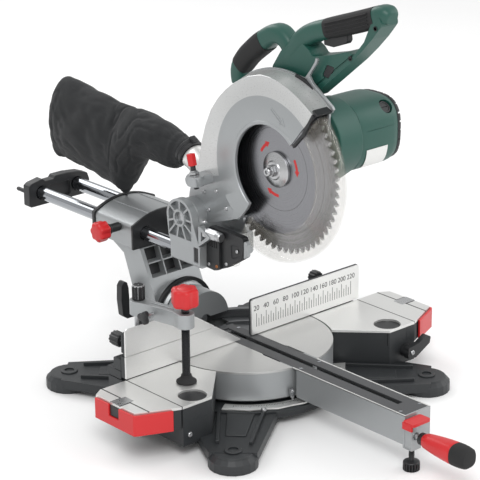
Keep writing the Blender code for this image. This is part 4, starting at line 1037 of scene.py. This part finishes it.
def build_clamp():
    (px, py), (sx, sy) = (-190, 22), (-174, -64)
    post, spindle = (px, py, 0), (sx, sy, 0)
    turn, length = atan2(sy - py, sx - px), hypot(sx - px, sy - py)

    def along(points):
        return [(px + u * cos(turn) - v * sin(turn), py + u * sin(turn) + v * cos(turn)) for u, v in points]

    outline = along(arc((0, 0), 13.5, 90, 270, 16) + [(14, -9.6), (length - 18, -8)]
                    + arc((length, 0), 13, -125, 125, 24) + [(length - 18, 8), (14, 9.6)])
    slot = prism(along([(22, -1), (length - 20, -1), (length - 20, 1), (22, 1)]), 104, 112)
    piece("clamp_bar", prism(outline, 86, 108), "clamp_arm", "casting", 1.8, segments=3,
          replaces=["clamp_arm"], cutters=[cylinder(post, "Z", 7.3, 60, 130),
                                           cylinder(spindle, "Z", 6.3, 60, 130), slot])
    grip = []
    for i in range(36):
        a = 2 * pi * i / 36
        for r, t in ((9.6, 0), (9.6, 0.5), (8.8, 0.6), (8.8, 0.9)):
            grip.append(polar((px, py), r, a + 2 * pi / 36 * t))
    piece("post_knob", prism(grip, 109, 129), "base", "black", 0.3)
    piece("post_crown", turned([(0, 107), (8, 107), (8.6, 109), (8.6, 129), (7.4, 131), (5, 131.6),
                                (0, 130.8)], post, "Z", 48), "base", "black", 0.2)
    screw_axis = (0, py - 38, 97)
    wing = lobed(screw_axis, "X", 11, -216, -207, 3, 4.6, 2.5)
    piece("wing_grip", wing, "clamp_wing_screw", "black", 0, replaces=["clamp_wing_screw"])
    collar = turned([(0, -208), (6, -208), (6, -203), (3, -202.6), (3, -195), (0, -195)], screw_axis, "X",
                    32)
    piece("wing_collar", collar, "clamp_wing_screw", "steel", 0.3)
    thread = [point for z in range(12, 112) for point in ((5.4, z), (6.0, z + 0.5))]
    rod = turned([(0, 12)] + thread + [(5.6, 113), (5.6, 122), (0, 122)], spindle, "Z", 40)
    pin = turned([(0, 4.5), (3, 4.5), (3, 13), (0, 13)], spindle, "Z", 24)
    piece("clamp_thread", merge(rod, pin), "clamp_spindle", "black", 0, replaces=["clamp_spindle"])
    pad = [(0, 0.3), (14, 0.3), (15, 1.2), (15, 2.8), (13, 4.4), (9.5, 7), (8, 9.5), (7.6, 12.4),
           (6.4, 13), (0, 13)]
    piece("clamp_foot", turned(pad, spindle, "Z", 64), "clamp_spindle", "rubber", 0.3,
          replaces=["clamp_pad"])
    knob = lobed(spindle, "Z", 20.4, 118, 146, 6, 2.6, 5.5)
    piece("clamp_grip", knob, "clamp_spindle", "red", 0, replaces=["clamp_knob"])
    dome = turned([(0, 145.6), (12, 145.6), (10, 146.6), (0, 147.4)], spindle, "Z", 48)
    piece("clamp_grip_cap", dome, "clamp_spindle", "red", 0.2)


# ---------------------------------------------------------------- fences, tables and base

def numeral(text, x, z, size):
    """A scale number on the fence's face, as thin raised ink."""
    curve = bpy.data.curves.new("numeral", "FONT")
    curve.body, curve.size, curve.align_x = text, size, "CENTER"
    curve.extrude = 0.04
    obj = bpy.data.objects.new("numeral", curve)
    bpy.context.scene.collection.objects.link(obj)
    bpy.context.view_layer.update()
    mesh = bpy.data.meshes.new_from_object(obj.evaluated_get(bpy.context.evaluated_depsgraph_get()))
    bpy.data.objects.remove(obj, do_unlink=True)
    bm = bmesh.new()
    bm.from_mesh(mesh)
    return moved(bm, pose((x, 0.22, z), 90))


def build_fences():
    outline = rounded([(10.6, 1.2), (237.8, 1.2), (237.8, 58), (10.6, 58)], [1, 1, 4, 4])
    piece("fence_face_right", front_prism(outline, 0.3, 3.4), "right_fence", "fence_metal", 0.3,
          replaces=["right_fence"])
    backing = rounded([(10, 0.8), (238.4, 0.8), (238.4, 58.6), (10, 58.6)], [1, 1, 4, 4])
    piece("fence_backing_right", front_prism(backing, 3.5, 6.5), "right_fence", "black_casting", 0.3)
    marks = []
    for x in range(20, 221, 5):
        top = 35 if x % 20 == 0 else 31 if x % 10 == 0 else 26
        marks.append(block((x - 0.4, 0.16, 13), (x + 0.4, 0.3, top)))
    marks += [numeral(str(x), x, 39.5, 11.6) for x in range(20, 221, 20)]
    piece("fence_scale", merge(*marks), "right_fence", "ink", 0)
    low = [(-234, 1), (-10.5, 1), (-10.5 - 34 / LEFT_FENCE_SLOPE, 35), (-234, 35)]
    hole = cylinder((-120, 0, 18), "Y", 4, -5, 12)
    piece("fence_lower_left", front_prism(rounded(low, [0.5, 1.5, 1.5, 0.5]), 0.3, 2.8), "base",
          "fence_metal", 0.4, replaces=["left_fence_lower"], cutters=[hole])
    high = [(-234, 35.6), (-11.5 - 34 / LEFT_FENCE_SLOPE, 35.6), (-10.5 - 77.3 / LEFT_FENCE_SLOPE, 78.3),
            (-234, 78.3)]
    piece("fence_upper_left", front_prism(rounded(high, [0.5, 1.5, 5, 5]), 0.3, 2.8), "left_fence",
          "fence_metal", 0.4, replaces=["left_fence_upper"])
    knob = lobed((165, 0, 50), "Y", 10.4, 16, 31, 12, 1.1, 2)
    piece("fence_top_knob", knob, "right_fence", "black", 0)
    piece("fence_top_stem", cylinder((165, 0, 50), "Y", 4, 6.2, 18), "right_fence", "steel", 0.2)
    rear = merge(block((-233.8, 2.9, 36), (-140, 7, 73)), block((-233.8, 7, 40), (-152, 11, 71)))
    piece("fence_upper_bracket", rear, "left_fence", "black_casting", 1.0)
    piece("fence_lower_bracket", block((-233.8, 2.9, 0.4), (-130, 12, 34.6)), "base", "black_casting", 1.0)
    for name, place, root, near, far in (("left", (-222, 0, 52), 11.6, 22, 42),
                                         ("right", (178, 0, 26), 8.4, 15, 33)):
        body = f"{name}_fence_knob"
        knob = lobed(place, "Y", 11, near, far, 12, 1.2, 2)
        piece(f"fence_knob_{name}", knob, body, "black", 0, replaces=[body])
        piece(f"fence_knob_stem_{name}", cylinder(place, "Y", 4, root, near + 2), body, "steel", 0.2)


def build_extensions():
    for side, name in SIDES:
        top = mirrored([(234.9, 0), (234.9, -126), (236, -126), (298, -98), (298, -10), (282, 0)], side)
        groove = [block(low, high, side) for low, high in (
            ((278.2, -108, -0.9), (280.2, 2, 1)), ((280, -66, -0.9), (302, -64.4, 1)),
            ((280, -44, -0.9), (302, -42.4, 1)))]
        body = name + "_extension"
        piece(f"{name}_wing_top", prism(top, -4, 0), body, "machined", 0.4, replaces=[body], cutters=groove)
        under = mirrored([(235, -1), (235, -125.4), (236, -125.4), (294.6, -98.4), (294.6, -11),
                          (280, -1)], side)
        hollow = prism(mirrored([(238, -4), (238, -122), (291, -96), (291, -13), (279, -4)], side), -42, -8)
        piece(f"{name}_wing_body", prism(under, -34, -4.1), body, "black_casting", 0.8, cutters=[hollow])
        rods = [cylinder((0, y, -24), "X", 6, *sorted((side * 146, side * 240)), 40) for y in (-70, -20)]
        piece(f"{name}_wing_rods", merge(*rods), body, "chrome", 0.3)
        cap = mirrored([(298.4, -12), (298.4, -98.6), (248, -121.2), (249, -124.6), (298, -103.4),
                        (302, -99.4), (302, -12)], side)
        notch = [block((290, -66, -20), (306, -44, 2), side)]
        piece(f"{name}_wing_cap", prism(cap, -34, -2.6), body, "red", 1.0, segments=3,
              replaces=[f"{name}_end_cap"], cutters=notch)
        piece(f"{name}_cap_slot", block((295, -65, -20), (299.4, -45, -4), side), body, "black", 0.4)
        stop = prism(mirrored([(272, -64), (299, -64), (299, -45), (272, -45)], side), 0.0, 0.7)
        piece(f"{name}_flip_stop", stop, body, "steel", 0.2)
        gap = block((233.4, -126.6, -3.4), (235.1, -0.2, 0.06), side)
        piece(f"{name}_table_gap", gap, "base", "black", 0)
        lines = [block(low, high, side) for low, high in (
            ((278, -107, -0.9), (280.4, -0.6, 0.03)), ((280.4, -66.2, -0.9), (298, -64.2, 0.03)),
            ((280.4, -44.6, -0.9), (298, -42.6, 0.03)))]
        piece(f"{name}_wing_lines", merge(*lines), body, "black", 0)
        plate = arc((0, 0), 133.4, -28.5, 0, 12) + [(234, 0), (234, -127), (180, -127)]
        scoop = (side * SCOOP[0], SCOOP[1], 0)
        hole = cylinder(scoop, "Z", SCOOP_RADIUS, -60, 10, 64)
        piece(f"{name}_table_top", prism(mirrored(plate, side), -4, 0), "base", "machined", 0.4,
              replaces=[name + "_table"], cutters=[hole])
        fill = mirrored([(178, -125.2), (178, -112), (219, -112), (219, -126.8), (180.2, -126.8)], side)
        piece(f"{name}_box_front", prism(fill, -26.2, -4.1), "base", "black_casting", 0,
              cutters=[cylinder(scoop, "Z", SCOOP_RADIUS, -40, 10, 64)])
        piece(f"{name}_scoop_floor", cylinder(scoop, "Z", SCOOP_RADIUS - 0.2, -4.5, -3.9), "base",
              "black", 0)


def build_base_details():
    pads, ribs, panels = [], [], []
    for sx in (-1, 1):
        for sy in (-1, 1):
            fx, fy = sx * FOOT[0], sy * FOOT[1]
            pads.append(turned([(7.4, -58.4), (12, -58.4), (13, -57.4), (13, -56), (12, -55.2),
                                (7.4, -55.2)], (fx, fy, 0), "Z", 48))
            pads.append(turned([(26, -58.6), (29, -58.6), (30, -59.4), (24, -59.4)], (fx, fy, 0), "Z", 64))
            inner = Vector((sx * 96, sy * 96))
            outer = Vector((fx, fy)) - Vector((sx * 14, sy * 14))
            way = (outer - inner).normalized()
            side = Vector((-way.y, way.x))
            for k in (-1, 1):
                a, b = inner + side * 34 * k, outer + side * 24 * k
                w = side * 2.6
                ribs.append(prism([tuple(a - w), tuple(b - w), tuple(b + w), tuple(a + w)], -58, -52.4))
            panel = [inner + side * 22, outer - way * 26 + side * 15, outer - way * 26 - side * 15,
                     inner - side * 22]
            panels.append(prism([tuple(p) for p in panel], -58, -55.4))
    piece("foot_pads", merge(*pads), "base", "black_casting", 0.3)
    piece("leg_ribs", merge(*ribs), "base", "black_casting", 0.9)
    piece("leg_panels", merge(*panels), "base", "black_casting", 1.2)
    lip = turned([(146, -60), (153.5, -60), (153.5, -54.6), (151, -53.2), (148.5, -53.2), (146, -56)],
                 segments=128)
    piece("base_ring", lip, "base", "black_casting", 0.4)
    for i, (x, y) in enumerate(((-80, -126), (80, -126), (-140, 60), (140, 60))):
        screw(f"base_bolt_{i}", (x, y, -53), "Z", 1, "base", 4.6, 3.6)
    block_left = merge(block((-233.8, 12.4, -4), (-196, 45, 10)), block((-233.8, 12.4, 10), (-206, 30, 28)))
    piece("fence_block_left", block_left, "base", "black_casting", 1.4)
    for side in (-1, 1):
        screw(f"box_bolt_{'lr'[side > 0]}", (side * 222, -127.0, -46), "Y", -1, "base", 4, 2.6)
    outline = []
    for i in range(113):
        outline.append(polar((0, 0), 152 - 2.2 * abs(sin(radians(i * 180 / 16))), radians(i - 146)))
    outline += arc((0, 0), 133, -34, -146, 64)
    piece("mitre_plate", prism(outline, -52.6, -50.2), "base", "machined", 0.3, replaces=["mitre_scale"])
    ticks = []
    for degree in range(-50, 51):
        a = radians(-90 + degree)
        long = 6.5 if degree % 10 == 0 else 4.5 if degree % 5 == 0 else 3
        u, v = Vector((cos(a), sin(a))), Vector((-sin(a), cos(a))) * 0.28
        line = [u * 137 - v, u * (137 + long) - v, u * (137 + long) + v, u * 137 + v]
        ticks.append(prism([tuple(p) for p in line], -50.3, -50.1))
    piece("mitre_ticks", merge(*ticks), "base", "ink", 0)
    lever = [(-9, -9), (8, -10), (38, 6), (40, 16), (31, 21), (14, 12), (-9, 9)]
    wing = front_prism(rounded([(212 + x, -40 + z) for x, z in lever], 3), -145, -136)
    boss = turned([(0, -144), (9, -144), (10, -142), (10, -127.4), (0, -127.4)], (212, 0, -40), "Y", 48)
    piece("extension_lock", wing, "right_lock_lever", "black", 1.4, segments=3,
          replaces=["right_lock_lever"], additions=[boss])
    screw("extension_lock_screw", (212, -144.6, -40), "Y", -1, "right_lock_lever", 4, 2)


# ---------------------------------------------------------------- turntable and mitre handle

def build_turntable():
    drum = turned([(0, -49), (126, -49), (131, -45), (131, -3.3), (0, -3.3)], segments=160)
    arm = block((-25.5, -359, -45), (25.5, -100, -0.4))
    hub = turned([(10.4, 96), (47, 96), (47, 137), (44, 140), (10.4, 140)], ORIGIN, "Y", 96)
    cutters = [block((-23, -356, -3), (23, 60, 5)), block((-14, -334, -20), (14, 55, 0)),
               cylinder(ORIGIN, "Y", 10.4, 90, 160), ring(ORIGIN, "Z", 131.5, 140, -60, 10)]
    rear = arc((0, 0), 121, 8, 172, 48)
    cutters.append(prism(rear, -15, 5))
    piece("table_drum", drum, "turntable", "casting", 1.0, replaces=["turntable"], additions=[arm, hub],
          cutters=cutters)
    rim = arc((0, 0), 130.9, 3, 177, 64) + arc((0, 0), 121.2, 177, 3, 64)
    piece("table_rear_rim", prism(rim, -14, -0.3), "turntable", "casting_dark", 1.2)
    floor = arc((0, 0), 120.8, 8, 172, 48)
    inner = arc((0, 0), 96, 12, 168, 48) + arc((0, 0), 91, 168, 12, 48)
    piece("table_rear_floor", prism(floor, -15, -13.4), "turntable", "casting_dark", 0.4, cutters=[
        block((-23, -10, -30), (23, 60, 5)), cylinder(ORIGIN, "Y", 47.6, 90, 160)])
    piece("table_rear_ring", prism(inner, -13.6, -9), "turntable", "casting_dark", 1.0,
          cutters=[cylinder(ORIGIN, "Y", 47.6, 85, 160)])
    for side, name in SIDES:
        half = mirrored([(23.2, 8), (23.2, -60), (25.6, -66), (25.6, -128.4)], side)
        curve = mirrored(arc((0, 0), 130.9, -78.6, 3.6, 48), side)
        piece(f"table_top_{name}", prism(half + curve, -3.3, 0), "turntable", "turned_table", 0.5)
        piece(f"arm_edge_{name}", block((23.2, -359, -1.6), (25.5, -129, 0.02), side), "turntable",
              "machined", 0.3)
    heads = []
    for x, y in ((-19, -140), (19, -140), (-19, -344), (19, -344), (-19, 40), (19, 40)):
        heads.append(turned([(0, -0.3), (2.8, -0.3), (2.8, 0.1), (2.2, 0.3), (0, 0.3)], (x, y, 0), "Z", 24))
    piece("kerf_screws", merge(*heads), "turntable", "chrome", 0)
    piece("kerf_shadow", block((-13.6, -333, -20.2), (13.6, 54, -18.6)), "turntable", "black", 0)
    tip = front_prism([(-33, -42), (-29, -42), (-31, -49.4)], -136.8, -133.6)
    plate = block((-34, -134.2, -44), (-26, -130.6, -31))
    piece("angle_pointer", plate, "turntable", "steel", 0.6, replaces=["mitre_pointer"], additions=[tip])
    screw("pointer_screw", (-30, -134.2, -35), "Y", -1, "turntable", 2.8, 1.4)


def build_mitre_handle():
    x, y, z = -20, -359.3, -27
    shell = rounded([(x - 10, -48), (x + 10, -48), (x + 10, -9), (x - 10, -9)], 2)
    piece("handle_boss", front_prism(shell, y - 17, y), "turntable", "casting", 1.2, segments=3,
          replaces=["handle_block"], cutters=[cylinder((x, 0, z), "Y", 5.4, y - 30, y + 5),
                                              cylinder((x, y - 8.5, 0), "Z", 4.4, -60, -33),
                                              block((x - 12, y - 15, -46), (x - 8.6, y - 3, -14))])
    top = rounded([(x - 13, y - 23.4), (x + 22, y - 23.4), (x + 22, y - 2), (x - 13, y - 2)], 4)
    hook = block((x - 13.6, y - 20, -16), (x - 10.6, y - 2, -6))
    piece("detent_tab", prism(top, -8.6, -4.4), "detent_lever", "red", 1.2, segments=3,
          replaces=["detent_lever"], additions=[hook])
    ferrule = turned([(3.9, -385), (8.4, -385), (9, -386), (9, -393), (3.9, -393)], (x, 0, z), "Y", 48)
    piece("grip_ferrule", ferrule, "mitre_handle", "black", 0.4)
    for name, look, replaces, rows in (("handle_shell", "red", ["handle_grip"],
                                        ((-393, 9.6), (-396, 11.2), (-406, 12.8), (-420, 14.6),
                                         (-434, 16), (-446, 16.8), (-449, 16.8), (-450, 16.2))),
                                       ("handle_end", "rubber", (), ((-450.2, 16.2), (-451, 17),
            (-458, 17.2), (-466, 16.8), (-474, 15.6), (-476.4, 13.6), (-477, 9)))):
        sections = [[(x + r * 0.92 * u, gy, z + r * 0.92 * v) for u, v in squared_circle(64, 2.6)]
                    for gy, r in rows]
        piece(name, loft(sections), "mitre_handle", look, 0, replaces)
    foot = [(0, -80), (12, -80), (12, -68.6), (11, -67.4), (7, -66.4), (4.2, -66), (4.2, -64)]
    foot += [point for i in range(14) for point in ((3.6, 1.2 * i - 63.4), (4.2, 1.2 * i - 62.8))]
    foot += [(3.6, -46), (0, -46)]
    knurls = [moved(block((10.6, -1, -79), (13, 1, -69)), pose((x, y - 8.5, 0), 20 * i, "Z"))
              for i in range(18)]
    piece("jack_foot", turned(foot, (x, y - 8.5, 0), "Z", 72), "adjustable_foot", "black", 0.2,
          replaces=["adjustable_foot"], cutters=knurls)


for build in (build_camera, build_studio, build_guard, build_blade, build_lower_guard, build_motor,
              build_handles, build_bag, build_bracket, build_housing, build_clamp, build_fences,
              build_extensions, build_base_details, build_turntable, build_mitre_handle):
    build()
